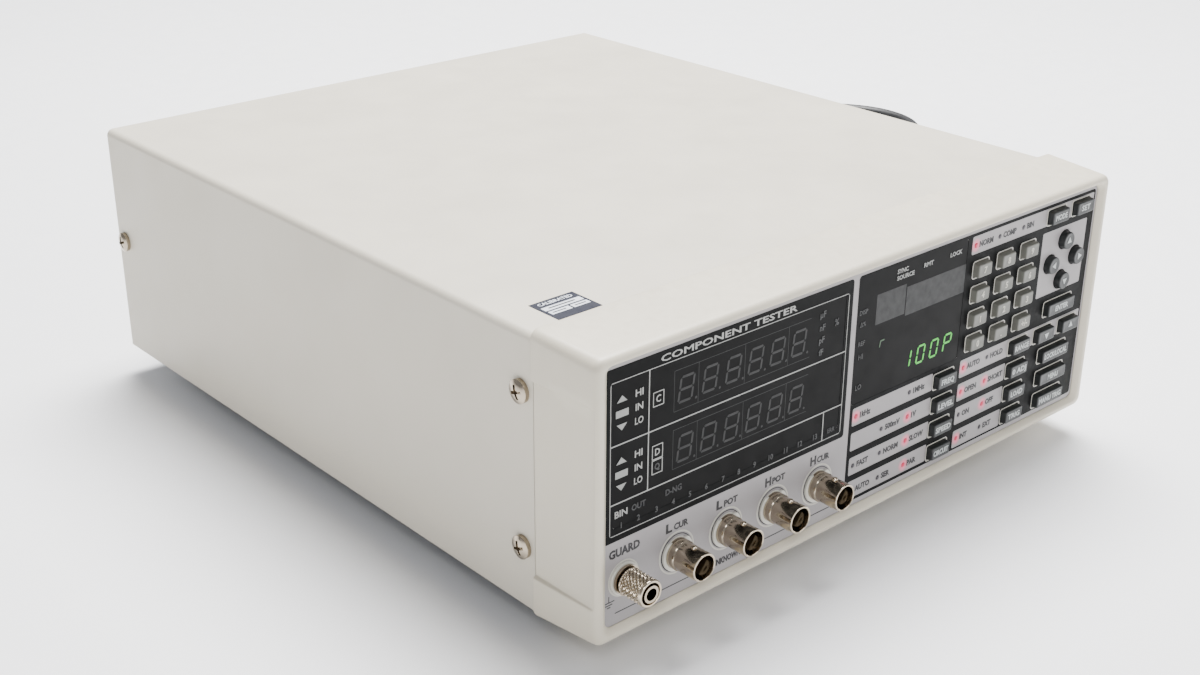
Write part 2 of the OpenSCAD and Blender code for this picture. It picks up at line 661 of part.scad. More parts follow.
// points between the route points on a smooth curve
function mid(a, b, c, d, t) = 0.5 * (2 * b + (c - a) * t + (2 * a - 5 * b + 4 * c - d) * t * t
    + (3 * b - a - 3 * c + d) * t * t * t);
function smooth(P, m) = [for (i = [0:len(P) - 2], j = [0:m - 1])
    mid(P[max(i - 1, 0)], P[i], P[i + 1], P[min(i + 2, len(P) - 1)], j / m), P[len(P) - 1]];
module tube(P, r) {
  n = len(P);
  pts = [for (i = [0:n - 1]) each ring(P, i, r)];
  sides = [for (i = [0:n - 2], k = [0:7]) [i * 8 + k, i * 8 + (k + 1) % 8, (i + 1) * 8 + (k + 1) % 8, (i + 1) * 8 + k]];
  polyhedron(points = pts, faces = concat([[for (k = [7:-1:0]) k]], sides, [[for (k = [0:7]) (n - 1) * 8 + k]]),
             convexity = 6);
}
module mains_cord() color("black") {
  tube(smooth(LEAD, 2), cord_dia / 2);
  tube(TAIL, cord_dia / 2);
}
module mains_coil() color("black") {
  translate([coil_x, coil_y, 0.1]) rotate_extrude($fn = 64)
    translate([coil_r, cord_dia]) rrect(4 * cord_dia, 2 * cord_dia - 0.2, 3);
}
module mains_plug() color("black") {
  translate([199, 136, 10]) rotate([0, -90, 0]) {
    cylinder(r1 = cord_dia / 2 + 0.6, r2 = 6, h = 20);
    translate([0, 0, 19.9]) linear_extrude(19) rrect(19.6, 25, 5);
    for (s = [-1, 1]) translate([-3, s * 6.35 - 0.75, 38.8]) cube([6, 1.5, 17]);
    translate([6.2, 0, 38.8]) cylinder(r = 2.3, h = 19);
  }
}

front_bezel();
front_panel();
display_windows();
top_cover();
bottom_chassis();
rear_panel();
cover_screws();
feet();
bnc_bodies();
bnc_dielectrics();
bnc_contacts();
terminal_bushes();
guard_stud();
guard_washer();
guard_knob();
digit_modules();
key_board();
status_lamps();
main_board();
power_supply();
power_inlet();
power_rocker();
rear_connectors();
cal_label();
cord_connector();
mains_cord();
mains_coil();
mains_plug();
for (i = [0:11]) num_key(i);
for (i = [0:11]) fun_key(i);
for (i = [0:3]) wid_key(i);
for (i = [0:3]) cursor_key(cur_at(i));
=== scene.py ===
"""Looks of a bench component tester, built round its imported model.

Laid out as an add-on: settings first, then shapes, finishes, one operator
for each piece or group of like pieces, and a panel that lists them.
Lengths are in metres unless a name ends in MM; a point on the front panel
is (x, z) in millimetres, with z counted from the bezel's lower edge.
"""
import json
import math

import bpy
import numpy as np
from mathutils import Matrix, Vector


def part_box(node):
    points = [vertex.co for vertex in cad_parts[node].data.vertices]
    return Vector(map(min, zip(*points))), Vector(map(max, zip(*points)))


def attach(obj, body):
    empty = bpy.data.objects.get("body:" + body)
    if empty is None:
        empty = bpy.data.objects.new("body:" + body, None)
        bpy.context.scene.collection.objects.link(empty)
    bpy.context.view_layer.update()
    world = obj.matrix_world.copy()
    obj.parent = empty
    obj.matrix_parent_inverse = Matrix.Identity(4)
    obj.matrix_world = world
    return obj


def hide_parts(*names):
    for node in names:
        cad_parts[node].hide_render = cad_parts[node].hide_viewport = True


bl_info = {
    "name": "Component tester looks",
    "version": (1, 0, 0),
    "blender": (4, 5, 0),
    "location": "3D View > Sidebar > Tester",
    "description": "Builds the visible pieces and finishes of a bench component tester",
    "category": "Object",
}

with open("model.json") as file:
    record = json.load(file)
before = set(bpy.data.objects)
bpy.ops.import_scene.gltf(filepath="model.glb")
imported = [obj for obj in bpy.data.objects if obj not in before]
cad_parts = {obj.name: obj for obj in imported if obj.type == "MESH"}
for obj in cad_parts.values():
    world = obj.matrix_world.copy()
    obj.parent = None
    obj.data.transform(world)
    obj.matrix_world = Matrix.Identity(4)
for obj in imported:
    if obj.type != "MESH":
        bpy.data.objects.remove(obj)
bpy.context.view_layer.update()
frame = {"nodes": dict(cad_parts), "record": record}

MM = 0.001
PANEL_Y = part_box("front_panel")[0][1]
BASE_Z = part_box("front_bezel")[0][2]
FACE_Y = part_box("front_bezel")[0][1]


def middle(node):
    """Centre of a node's box."""
    lo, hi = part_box(node)
    return [(a + b) / 2 for a, b in zip(lo, hi)]


def linear(r, g, b):
    """Linear colour from eight-bit sRGB numbers."""
    return tuple((c / 255 / 12.92) if c <= 10 else ((c / 255 + 0.055) / 1.055) ** 2.4 for c in (r, g, b))


# ---------------------------------------------------------------- settings

def colour(name, text, rgb):
    return bpy.props.FloatVectorProperty(name=name, description=text, subtype="COLOR", size=3,
                                         min=0, max=1, default=linear(*rgb))


def size(name, text, default, lo, hi):
    return bpy.props.FloatProperty(name=name, description=text, default=default, min=lo, max=hi,
                                   unit="LENGTH", precision=5)


def number(name, text, default, hi):
    return bpy.props.FloatProperty(name=name, description=text, default=default, min=0, max=hi)


def count(name, text, default, lo, hi):
    return bpy.props.IntProperty(name=name, description=text, default=default, min=lo, max=hi)


class CaseSettings(bpy.types.PropertyGroup):
    paint: colour("Cover paint", "Colour of the painted steel cover", (203, 196, 180))
    bezel: colour("Bezel plastic", "Colour of the moulded front frame", (205, 197, 178))
    texture: size("Paint texture", "Size of the fine orange-peel grain in the paint", 0.0006, 0.0001, 0.003)


class PanelSettings(bpy.types.PropertyGroup):
    film: colour("Panel film", "Colour of the silver-grey printed film", (146, 142, 142))
    block: colour("Display block", "Colour of the dark blocks round the displays", (8, 9, 9))
    ink: colour("Light ink", "Colour of the bright lettering on the dark blocks", (178, 178, 174))
    film_lift: size("Ink lift", "Height of printed ink above the film", 0.00008, 0.00001, 0.0002)
    glow: colour("Lit digits", "Colour of the lit digits", (50, 205, 35))


class KeySettings(bpy.types.PropertyGroup):
    draft: size("Draft", "How much a cap narrows from the panel to its front", 0.00028, 0, 0.001)
    edge: size("Edge radius", "Rounding of a cap's front edge", 0.00045, 0.0001, 0.001)
    dish: size("Dish", "Depth of the shallow hollow in a cap's front", 0.00012, 0, 0.0005)
    number_cap: colour("Number caps", "Colour of the number key caps", (104, 104, 97))
    dark_cap: colour("Dark caps", "Colour of the function key caps", (30, 33, 33))


class TerminalSettings(bpy.types.PropertyGroup):
    nickel: colour("Nickel", "Colour of the nickel plating", (176, 164, 146))
    knurl_count: count("Knurl ridges", "Ridges round the guard knob in each direction", 19, 12, 60)
    knurl_depth: size("Knurl depth", "Depth of the knurl grooves", 0.00055, 0, 0.001)


class LeadSettings(bpy.types.PropertyGroup):
    thickness: size("Thickness", "Diameter of the mains lead", 0.007, 0.004, 0.012)
    sides: count("Sides", "Facets round the lead", 20, 8, 48)


class StageSettings(bpy.types.PropertyGroup):
    floor: colour("Floor", "Colour of the plain pale floor", (243, 243, 244))
    key_power: number("Main light", "Power of the broad overhead light, in watts", 125.0, 200)
    fill_power: number("Fill light", "Power of the light on the panel's side, in watts", 7.5, 200)
    spark_power: number("Small light", "Power of the small light that draws highlights, in watts", 2.6, 50)
    sky: number("Room light", "Strength of the even light from the room", 0.5, 3)


GROUPS = (("tester_case", CaseSettings), ("tester_panel", PanelSettings), ("tester_keys", KeySettings),
          ("tester_terminals", TerminalSettings), ("tester_lead", LeadSettings),
          ("tester_stage", StageSettings))


# ------------------------------------------------------------------ shapes

def face_out(verts, faces):
    """Faces turned outward: the sum of corner triple products is six times the volume, so its sign says
    which way the faces point."""
    total = 0.0
    for f in faces:
        for k in range(1, f.shape[1] - 1):
            a, b, c = verts[f[:, 0]], verts[f[:, k]], verts[f[:, k + 1]]
            total += float(np.einsum("ij,ij->i", a, np.cross(b, c)).sum())
    return faces if total >= 0 else [f[:, ::-1] for f in faces]


def join(parts):
    """One shell list from several (verts, faces) pairs, with the indices shifted along."""
    verts, faces, start = [], [], 0
    for v, fs in parts:
        verts.append(v)
        faces += [np.asarray(f) + start for f in fs if len(f)]
        start += len(v)
    return np.concatenate(verts), faces


def put(name, shells, body, smooth=None):
    """A piece from [(material, (verts, faces))...]: every shell goes in with its own material, and the piece
    rides on body. smooth is the angle in degrees under which edges are shaded smooth."""
    verts, lists, mats, start = [], [], [], 0
    me = bpy.data.meshes.new(name)
    for number, (material, (v, faces)) in enumerate(shells):
        me.materials.append(material)
        verts.append(v)
        for f in faces:
            if len(f):
                lists += (np.asarray(f) + start).tolist()
                mats.append(np.full(len(f), number, np.int32))
        start += len(v)
    me.from_pydata(np.concatenate(verts).tolist(), [], lists)
    me.polygons.foreach_set("material_index", np.concatenate(mats))
    me.update()
    if smooth:
        me.shade_smooth()
        me.set_sharp_from_angle(angle=math.radians(smooth))
    ob = bpy.data.objects.new(name, me)
    bpy.context.scene.collection.objects.link(ob)
    if body:
        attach(ob, body)
    return ob


def prisms(loops, front, back):
    """Flat outlines (n, k, 2) in millimetres on the panel, each carried straight back: a corner is
    (x, y, z) with y = front, then y = back, and the k side faces join the two copies."""
    loops = np.asarray(loops, float)
    n, k, _ = loops.shape
    v = np.empty((n, 2, k, 3))
    v[..., 0] = loops[:, None, :, 0] * MM
    v[..., 2] = BASE_Z + loops[:, None, :, 1] * MM
    v[:, 0, :, 1], v[:, 1, :, 1] = front, back
    j = np.arange(k)
    jn = (j + 1) % k
    base = (np.arange(n) * 2 * k)[:, None]
    sides = np.stack([jn, j, j + k, jn + k], 1)
    return v.reshape(-1, 3), [base + j[None], base + (k + j[::-1])[None],
                              (base[:, :, None] + sides[None]).reshape(-1, 4)]


def rings(outer, inner, front, back):
    """Flat frames: the strip between two outlines (n, k, 2) with the same count of corners, carried
    straight back from y = front to y = back."""
    outer, inner = np.asarray(outer, float), np.asarray(inner, float)
    n, k, _ = outer.shape
    v = np.empty((n, 4, k, 3))
    flat = np.stack([outer, inner, outer, inner], 1)
    v[..., 0] = flat[..., 0] * MM
    v[..., 2] = BASE_Z + flat[..., 1] * MM
    v[..., 1] = np.array([front, front, back, back])[None, :, None]
    j = np.arange(k)
    jn = (j + 1) % k
    quads = np.concatenate([np.stack(q, 1) for q in (
        (j, jn, k + jn, k + j), (jn, j, 2 * k + j, 2 * k + jn),
        (k + j, k + jn, 3 * k + jn, 3 * k + j), (2 * k + jn, 2 * k + j, 3 * k + j, 3 * k + jn))])
    base = (np.arange(n) * 4 * k)[:, None, None]
    return v.reshape(-1, 3), [(base + quads[None]).reshape(-1, 4)]


def rounded(cx, cz, w, h, r, m=6):
    """Rounded rectangles, anticlockwise: each corner is a quarter circle of radius r about a point r in
    from both sides. All arguments may be arrays; the result is (n, 4m, 2)."""
    cx, cz, w, h, r = np.broadcast_arrays(*[np.atleast_1d(np.asarray(a, float)) for a in (cx, cz, w, h, r)])
    t = np.linspace(0, math.pi / 2, m)
    turn = np.concatenate([t + math.pi / 2 * q for q in range(4)])
    sx = np.repeat([1, -1, -1, 1], m)
    sz = np.repeat([1, 1, -1, -1], m)
    x = cx[:, None] + sx * (w / 2 - r)[:, None] + r[:, None] * np.cos(turn)
    z = cz[:, None] + sz * (h / 2 - r)[:, None] + r[:, None] * np.sin(turn)
    return np.stack([x, z], -1)


def cells(spans):
    """Square outlines of cells given as (x from, x to, z from, z to)."""
    return [[[a, c], [b, c], [b, d], [a, d]] for a, b, c, d in spans]


def soft_cells(spans, r):
    """The same with corners of radius r."""
    return [rounded((a + b) / 2, (c + d) / 2, b - a, d - c, r)[0] for a, b, c, d in spans]


def discs(points, radius, k=28):
    """Regular k-sided outlines of the given radius about each (x, z) point."""
    t = np.arange(k) * 2 * math.pi / k
    return np.asarray(points, float)[:, None] + np.atleast_1d(radius).reshape(-1, 1, 1) * \
        np.stack([np.cos(t), np.sin(t)], -1)[None]


def loft(rows):
    """A closed skin through rows of points (m, k, 3): neighbouring rows are joined by quads, and the
    first and last rows are closed by fans to their own middles."""
    m, k, _ = rows.shape
    v = np.concatenate([rows.reshape(-1, 3), rows[0].mean(0)[None], rows[-1].mean(0)[None]])
    j = np.arange(k)
    jn = (j + 1) % k
    r = (np.arange(m - 1) * k)[:, None]
    quads = np.stack([r + j, r + jn, r + k + jn, r + k + j], -1).reshape(-1, 4)
    first = np.stack([jn, j, np.full(k, m * k)], 1)
    last = np.stack([(m - 1) * k + j, (m - 1) * k + jn, np.full(k, m * k + 1)], 1)
    return v, face_out(v, [quads, np.concatenate([first, last])])


def band(rows):
    """A closed skin through rows of points that run round into themselves both ways, as on a ring."""
    m, k, _ = rows.shape
    j = np.arange(k)
    jn = (j + 1) % k
    r = (np.arange(m) * k)[:, None]
    rn = ((np.arange(m) + 1) % m * k)[:, None]
    v = rows.reshape(-1, 3)
    return v, face_out(v, [np.stack([r + j, r + jn, rn + jn, rn + j], -1).reshape(-1, 4)])


def turned(profile, x, z, mouth, seg=64):
    """A ring turned about a line along +Y: each profile point (radius, depth) in millimetres goes to
    (x + r cos t, mouth + depth, z + r sin t) for t round the circle. The profile is a closed loop."""
    p = np.asarray(profile, float) * MM
    t = np.arange(seg) * 2 * math.pi / seg
    rows = np.stack([x + p[:, :1] * np.cos(t), mouth + np.repeat(p[:, 1:], seg, 1),
                     z + p[:, :1] * np.sin(t)], -1)
    return band(rows)


def film(name, loops, front, back):
    """A thin flat sheet with holes: the outlines (k, 2) fill a flat curve, first the outside and then the
    holes, which becomes a mesh before it is stood up on the panel."""
    cu = bpy.data.curves.new(name, "CURVE")
    cu.dimensions, cu.fill_mode, cu.extrude = "2D", "BOTH", 1.0
    for loop in loops:
        sp = cu.splines.new("POLY")
        sp.points.add(len(loop) - 1)
        sp.points.foreach_set("co", np.c_[loop, np.zeros(len(loop)), np.ones(len(loop))].ravel())
        sp.use_cyclic_u = True
    return stand_up([cu], [(1.0, 1.0, 0.0, 0.0)], front, back)


def linked(curves):
    """Objects of flat curves in the scene, and the dependency graph that fills them."""
    obs = [bpy.data.objects.new("flat", cu) for cu in curves]
    for ob in obs:
        bpy.context.scene.collection.objects.link(ob)
    return obs, bpy.context.evaluated_depsgraph_get()


def stand_up(curves, places, front, back):
    """Meshes of flat curves stood on the panel: (u, v, w) goes to (x + a u, front or back by the sign of
    w, z + b v) for each curve's own (a, b, x, z) in millimetres. Doubled corners are merged."""
    obs, dg = linked(curves)
    parts = []
    for ob, (a, b, x, z) in zip(obs, places):
        me = bpy.data.meshes.new_from_object(ob.evaluated_get(dg))
        co = np.empty(len(me.vertices) * 3)
        me.vertices.foreach_get("co", co)
        co = co.reshape(-1, 3)
        loops = np.empty(len(me.loops), np.int32)
        me.loops.foreach_get("vertex_index", loops)
        start = np.empty(len(me.polygons), np.int32)
        total = np.empty(len(me.polygons), np.int32)
        me.polygons.foreach_get("loop_start", start)
        me.polygons.foreach_get("loop_total", total)
        _, first, back_to = np.unique(np.round(co, 5), axis=0, return_index=True, return_inverse=True)
        back_to = back_to.ravel()
        co = co[first]
        v = np.stack([(x + a * co[:, 0]) * MM, np.where(co[:, 2] > 0, front, back),
                      BASE_Z + (z + b * co[:, 1]) * MM], 1)
        faces = [back_to[loops[start[total == c][:, None] + np.arange(c)]] for c in np.unique(total)]
        parts.append((v, faces))
        bpy.data.meshes.remove(me)
    for ob in obs:
        bpy.data.objects.remove(ob)
    for cu in curves:
        bpy.data.curves.remove(cu)
    return join(parts)


def word_curve(text, bold):
    cu = bpy.data.curves.new("word", "FONT")
    cu.body, cu.size, cu.resolution_u, cu.extrude, cu.offset = text, 1.0, 2, 0.05, bold
    return cu


def flat_extent(curves):
    """Width, lowest, highest and left edge of each flat curve as it will be filled."""
    obs, dg = linked(curves)
    out = []
    for ob in obs:
        b = np.array([list(c) for c in ob.evaluated_get(dg).bound_box])
        out.append((b[:, 0].min(), b[:, 0].max(), b[:, 1].min(), b[:, 1].max()))
    for ob in obs:
        bpy.data.objects.remove(ob)
    return out


def lettering(words, front, back, bold=0.012):
    """Words stood on the panel. Each is (text, x, z, capital height, width or 0, side): z is the middle of
    the capitals, x the left edge, middle or right edge as side is -1, 0 or 1; width stretches the word."""
    curves = [word_curve(w[0], bold) for w in words]
    extent = flat_extent(curves + [word_curve("H", bold)])
    cap = extent[-1][3] - extent[-1][2]
    places = []
    for (text, x, z, high, wide, side), (x0, x1, z0, z1) in zip(words, extent):
        b = high / cap
        a = wide / (x1 - x0) if wide else b * 0.94
        left = {-1: x, 0: x - a * (x1 - x0) / 2, 1: x - a * (x1 - x0)}[side]
        places.append((a, b, left - a * x0, z - high / 2 - b * extent[-1][2]))
    return stand_up(curves, places, front, back)


# --------------------------------------------------------------- materials

class Finish:
    """A material under construction: a principled shader, object coordinates and short node helpers."""

    def __init__(self, name, rough=0.5, metallic=0.0, spec=0.5):
        self.mat = bpy.data.materials.new(name)
        self.mat.use_nodes = True
        self.tree = self.mat.node_tree
        self.tree.nodes.clear()
        self.shader = self.node("BsdfPrincipled")
        self.link(self.shader.outputs[0], self.node("OutputMaterial").inputs[0])
        self.shader.inputs["Roughness"].default_value = rough
        self.shader.inputs["Metallic"].default_value = metallic
        self.shader.inputs["Specular IOR Level"].default_value = spec
        self.place = self.node("TexCoord").outputs["Object"]

    def node(self, kind):
        return self.tree.nodes.new("ShaderNode" + kind)

    def link(self, a, b):
        self.tree.links.new(a, b)

    def larger(self, a, b):
        n = self.node("Math")
        n.operation = "MAXIMUM"
        self.link(a, n.inputs[0])
        self.link(b, n.inputs[1])
        return n.outputs[0]

    def noise(self, grain, detail=3.0):
        """Smooth noise whose features are about grain metres across."""
        n = self.node("TexNoise")
        n.inputs["Scale"].default_value = 1 / grain
        n.inputs["Detail"].default_value = detail
        self.link(self.place, n.inputs["Vector"])
        return n.outputs["Fac"]

    def ramp(self, factor, lo, hi, a=0.3, b=0.7):
        """Value from lo to hi as the factor goes from a to b."""
        n = self.node("MapRange")
        for k, v in zip(("From Min", "From Max", "To Min", "To Max"), (a, b, lo, hi)):
            n.inputs[k].default_value = v
        self.link(factor, n.inputs["Value"])
        return n.outputs[0]

    def blend(self, factor, a, b):
        """Colour a where the factor is 0 and b where it is 1."""
        n = self.node("Mix")
        n.data_type = "RGBA"
        self.link(factor, n.inputs["Factor"])
        for key, c in (("A", a), ("B", b)):
            socket = [s for s in n.inputs if s.name == key and s.type == "RGBA"][0]
            if hasattr(c, "links"):
                self.link(c, socket)
            else:
                socket.default_value = (*c[:3], 1)
        return [s for s in n.outputs if s.type == "RGBA"][0]

    def base(self, socket):
        self.link(socket, self.shader.inputs["Base Color"])

    def rough(self, socket):
        self.link(socket, self.shader.inputs["Roughness"])

    def bump(self, height, distance, strength=1.0, bevel=0.0):
        """Small relief from a height; bevel softens the shading of sharp edges over that radius."""
        n = self.node("Bump")
        n.inputs["Distance"].default_value = distance
        n.inputs["Strength"].default_value = strength
        self.link(height, n.inputs["Height"])
        if bevel:
            e = self.node("Bevel")
            e.samples = 4
            e.inputs["Radius"].default_value = bevel
            self.link(e.outputs[0], n.inputs["Normal"])
        self.link(n.outputs[0], self.shader.inputs["Normal"])


def tone(c, k):
    return tuple(min(1.0, v * k) for v in c[:3])


def plain(name, c, rough=0.5, spread=0.06, cloud=0.03, grain=0.0004, relief=0.00001, metallic=0.0,
          bevel=0.0, spec=0.5):
    """A moulded, painted or plated finish: faint clouding of the colour, uneven gloss and a fine grain."""
    f = Finish(name, rough, metallic, spec)
    c = tuple(c)
    f.base(f.blend(f.ramp(f.noise(cloud, 4.0), 0, 1), tone(c, 1 - spread), tone(c, 1 + spread)))
    f.rough(f.ramp(f.noise(grain * 6), max(0.02, rough - 0.07), min(1.0, rough + 0.07)))
    f.bump(f.noise(grain, 2.0), relief, 0.6, bevel)
    return f.mat


def painted_steel(name, c, grain):
    """Baked paint on sheet steel: fine orange peel and very faint handling marks."""
    f = Finish(name, 0.42, 0.0, 0.42)
    c = tuple(c)[:3]
    peel = f.noise(grain, 2.0)
    marks = f.ramp(f.noise(0.06, 6.0), 0, 1, 0.35, 0.75)
    f.base(f.blend(marks, tone(c, 0.97), tone(c, 1.02)))
    f.rough(f.ramp(f.noise(0.02, 5.0), 0.36, 0.5))
    f.bump(peel, 0.00002, 0.5, 0.0006)
    return f.mat


def panel_film(name, c, lamps):
    """Silver-grey printed film: a fine sparkle, and a painted pink glow of lamplight round each lit lamp that
    fades over 2.4 mm."""
    f = Finish(name, 0.45, 0.0, 0.45)
    c = tuple(c)[:3]
    tint = f.blend(f.ramp(f.noise(0.00025, 1.0), 0, 1, 0.2, 0.8), tone(c, 0.95), tone(c, 1.05))
    tint = f.blend(f.ramp(f.noise(0.03, 3.0), 0, 0.5), tint, tone(c, 1.06))
    # painted light: the pink glow of each lit lamp is painted into the film's colour, strongest next to the
    # lamp
    painted_lamp_glow = None
    for x, z in lamps:
        n = f.node("VectorMath")
        n.operation = "DISTANCE"
        f.link(f.place, n.inputs[0])
        n.inputs[1].default_value = (x * MM, PANEL_Y, BASE_Z + z * MM)
        near = f.ramp(n.outputs["Value"], 0.9, 0.0, 0.0008, 0.0029)
        painted_lamp_glow = near if painted_lamp_glow is None else f.larger(painted_lamp_glow, near)
    # the film's colour turns to the painted pink lamp glow near each lit lamp
    f.base(f.blend(painted_lamp_glow, tint, linear(250, 120, 150)))
    f.rough(f.ramp(f.noise(0.002, 3.0), 0.38, 0.52))
    f.bump(f.noise(0.0002, 1.0), 0.000006, 0.4)
    return f.mat


def lit(name, c, strength, core=0.5):
    """A lit segment or lamp: its own colour, shining, a little uneven along its length."""
    f = Finish(name, 0.35)
    c = tuple(c)[:3]
    glow = f.blend(f.ramp(f.noise(0.0012, 2.0), 0, 1), tone(c, 0.8), tone(c, 1.15))
    f.base(f.blend(f.ramp(f.noise(0.0012, 2.0), 0, 1), tone(c, core), tone(c, core * 0.8)))
    f.link(glow, f.shader.inputs["Emission Color"])
    f.shader.inputs["Emission Strength"].default_value = strength
    return f.mat


FINISHES = {}


def make_finishes(sc):
    """All the finishes, by the name of their material slot or use."""
    body, panel, keys, term = sc.tester_case, sc.tester_panel, sc.tester_keys, sc.tester_terminals
    nickel = tuple(term.nickel)
    F = FINISHES

    def add(name, *values, **more):
        F[name] = plain(name, *values, **more)

    F["case_paint"] = painted_steel("case_paint", body.paint, body.texture)
    F["rear_paint"] = painted_steel("rear_paint", tone(tuple(body.paint), 0.96), body.texture)
    add("bezel_plastic", body.bezel, 0.42, 0.02, 0.05, 0.0005, 0.000012, bevel=0.0005)
    F["panel_paint"] = panel_film("panel_paint", panel.film, LIT_LAMPS)
    add("window_tint", linear(6, 6, 6), 0.36, 0.08, 0.02, 0.001, 0.000003, spec=0.06)
    add("chassis_metal", linear(150, 152, 153), 0.38, 0.1, 0.02, 0.0003, 0.00001, 1.0, bevel=0.0004)
    add("screw_nickel", tone(nickel, 0.85), 0.12, 0.08, 0.004, 0.0003, 0.000008, 1.0, bevel=0.0002)
    add("foot_rubber", linear(42, 41, 40), 0.75, 0.12, 0.006, 0.0005, 0.00004)
    add("nickel", nickel, 0.14, 0.1, 0.006, 0.0004, 0.000004, 1.0)
    add("knurl_nickel", tone(nickel, 1.1), 0.2, 0.12, 0.003, 0.0003, 0.000006, 1.0)
    # dielectric: a brownish grey well below white PTFE, partly its own tint and partly painted shade of the
    # deep bore
    add("ptfe", linear(118, 112, 100), 0.5, 0.04, 0.004)
    add("gold_plate", linear(150, 120, 66), 0.25, 0.08, 0.002, metallic=1.0)
    add("bush_white", linear(214, 212, 202), 0.4, 0.03, 0.006, bevel=0.00025)
    add("module_black", linear(30, 31, 32), 0.5, 0.1, 0.01)
    add("board_green", linear(30, 92, 52), 0.35, 0.12, 0.004, 0.0006, 0.00002)
    F["lamp_red"] = lit("lamp_red", linear(225, 45, 85), 0.6)
    add("supply_metal", linear(140, 142, 140), 0.35, 0.1, 0.01, metallic=1.0)
    add("inlet_black", linear(36, 36, 37), 0.45, 0.1, 0.006, 0.0004, 0.00002, bevel=0.0004)
    add("connector_metal", linear(180, 180, 176), 0.3, 0.1, 0.005, metallic=1.0, bevel=0.0003)
    add("label_film", linear(10, 14, 34), 0.45, 0.1, 0.004, 0.0006, 0.000004, spec=0.25)
    add("label_white", linear(214, 218, 224), 0.35, 0.03, 0.004)
    add("cord_black", linear(26, 26, 27), 0.48, 0.15, 0.01, 0.0006, 0.00003)
    add("tie_grey", linear(70, 70, 72), 0.7, 0.15, 0.002, 0.0003, 0.00008)
    add("key_grey", keys.number_cap, 0.45, 0.04, 0.004, 0.0003, 0.000012)
    add("key_dark", keys.dark_cap, 0.42, 0.06, 0.004, 0.0003, 0.000012)
    add("legend_pale", linear(186, 184, 172), 0.5, 0.04, 0.001)
    add("legend_white", linear(176, 180, 178), 0.5, 0.04, 0.001)
    add("block_black", panel.block, 0.42, 0.06, 0.02, 0.0003, 0.000006, spec=0.06)
    add("ink_light", tone(tuple(panel.ink), 0.7), 0.5, 0.05, 0.002)
    add("ink_mid", linear(140, 141, 138), 0.5, 0.05, 0.002)
    add("ink_dim", linear(48, 49, 49), 0.5, 0.06, 0.002)
    add("ink_faint", linear(34, 35, 36), 0.5, 0.06, 0.002)
    add("ink_dark", linear(20, 19, 22), 0.5, 0.08, 0.002)
    add("ink_cream", linear(190, 187, 177), 0.5, 0.04, 0.002)
    add("segment_off", linear(14, 14, 14), 0.45, 0.05, 0.002, spec=0.3)
    add("module_edge", linear(13, 14, 14), 0.45, 0.05, 0.002, spec=0.3)
    F["segment_lit"] = lit("segment_lit", panel.glow, 0.7)
    F["segment_faint"] = lit("segment_faint", linear(40, 90, 40), 0.25)
    add("lamp_off", linear(40, 35, 42), 0.3, 0.1, 0.001)
    return F


# ------------------------------------------------------- places on the panel

KEY_NAMES = {
    "number": ["key_%d" % n for n in range(10)] + ["key_point", "key_sign"],
    "function": ["key_freq", "key_level", "key_speed", "key_circuit", "key_range", "key_zero", "key_load",
                 "key_trig", "key_down", "key_up", "key_mode", "key_set"],
    "wide": ["key_enter", "key_lock", "key_menu", "key_manual"],
    "cursor": ["cursor_up", "cursor_left", "cursor_right", "cursor_down"],
}
KEY_WORDS = {
    "key_point": ".", "key_sign": "+/-", "key_freq": "FREQ", "key_level": "LEVEL", "key_speed": "SPEED",
    "key_circuit": "CIRCUIT", "key_range": "RANGE", "key_zero": "0 ADJ", "key_load": "LOAD",
    "key_trig": "TRIG", "key_mode": "MODE", "key_set": "SET", "key_enter": "ENTER",
    "key_lock": "LOCK/LOCAL", "key_menu": "MENU", "key_manual": "MANU TRIG",
}
KEY_WORDS.update({"key_%d" % n: "%d" % n for n in range(10)})
POINTS = {"key_down": -90, "key_up": 90, "cursor_up": 90, "cursor_left": 180, "cursor_right": 0,
          "cursor_down": -90}
FACE = {"number": (8.2, 5.5), "function": (10.8, 5.5), "wide": (17.2, 5.5)}

# status lamps: word, x, z and whether it is lit
LAMPS = [("1kHz", -9.9, 41.0, 1), ("1MHz", 18.9, 41.0, 0), ("500mV", 4.6, 31.4, 0), ("1V", 19, 31.4, 1),
         ("FAST", -9.6, 21.9, 0), ("NORM", 4.7, 21.9, 0), ("SLOW", 19, 21.9, 1), ("AUTO", -9.6, 12.1, 0),
         ("SER", 4.7, 12.1, 0), ("PAR", 19, 12.1, 1), ("NORM", 49.7, 88.4, 1), ("COMP", 63.75, 88.4, 0),
         ("BIN", 78.1, 88.4, 0), ("AUTO", 49.8, 41.0, 1), ("HOLD", 64, 41.0, 0), ("OPEN", 49.8, 31.3, 1),
         ("SHORT", 64, 31.3, 1), ("ON", 49.8, 21.9, 0), ("OFF", 64, 21.9, 1), ("INT", 49.8, 12.2, 1),
         ("EXT", 64, 12.2, 0)]
LIT_LAMPS, DARK_LAMPS = ([(x, z) for _, x, z, on in LAMPS if on == want] for want in (1, 0))
# silver strips left open in the right-hand dark block: x from, x to, z from, z to
STRIPS = [(-11.9, 31.75, 37.6, 44.4), (-11.9, 31.75, 28.0, 35.0), (-11.9, 31.75, 18.4, 25.4),
          (-11.9, 31.75, 9.1, 16.0), (47.5, 122.7, 85.1, 92.0), (47.5, 122.7, 37.3, 44.4),
          (47.5, 76.4, 27.8, 34.9), (47.5, 76.4, 18.25, 25.4), (47.5, 76.4, 8.6, 15.75),
          (91.4, 119.9, 56.4, 82.5)]
TERMINALS = [-94.2, -72.2, -50.2, -28.2]
GUARD_X, TERMINAL_Z = -116.7, 21.4


def spot(node):
    """A node's middle as (x, z) in millimetres on the panel."""
    c = middle(node)
    return c[0] / MM, (c[2] - BASE_Z) / MM


def kind_of(node):
    return next(k for k, names in KEY_NAMES.items() if node in names)


# --------------------------------------------------------------- operators

class Builder:
    """What the operators share: they run at once and leave finished pieces behind."""
    bl_options = {"REGISTER"}


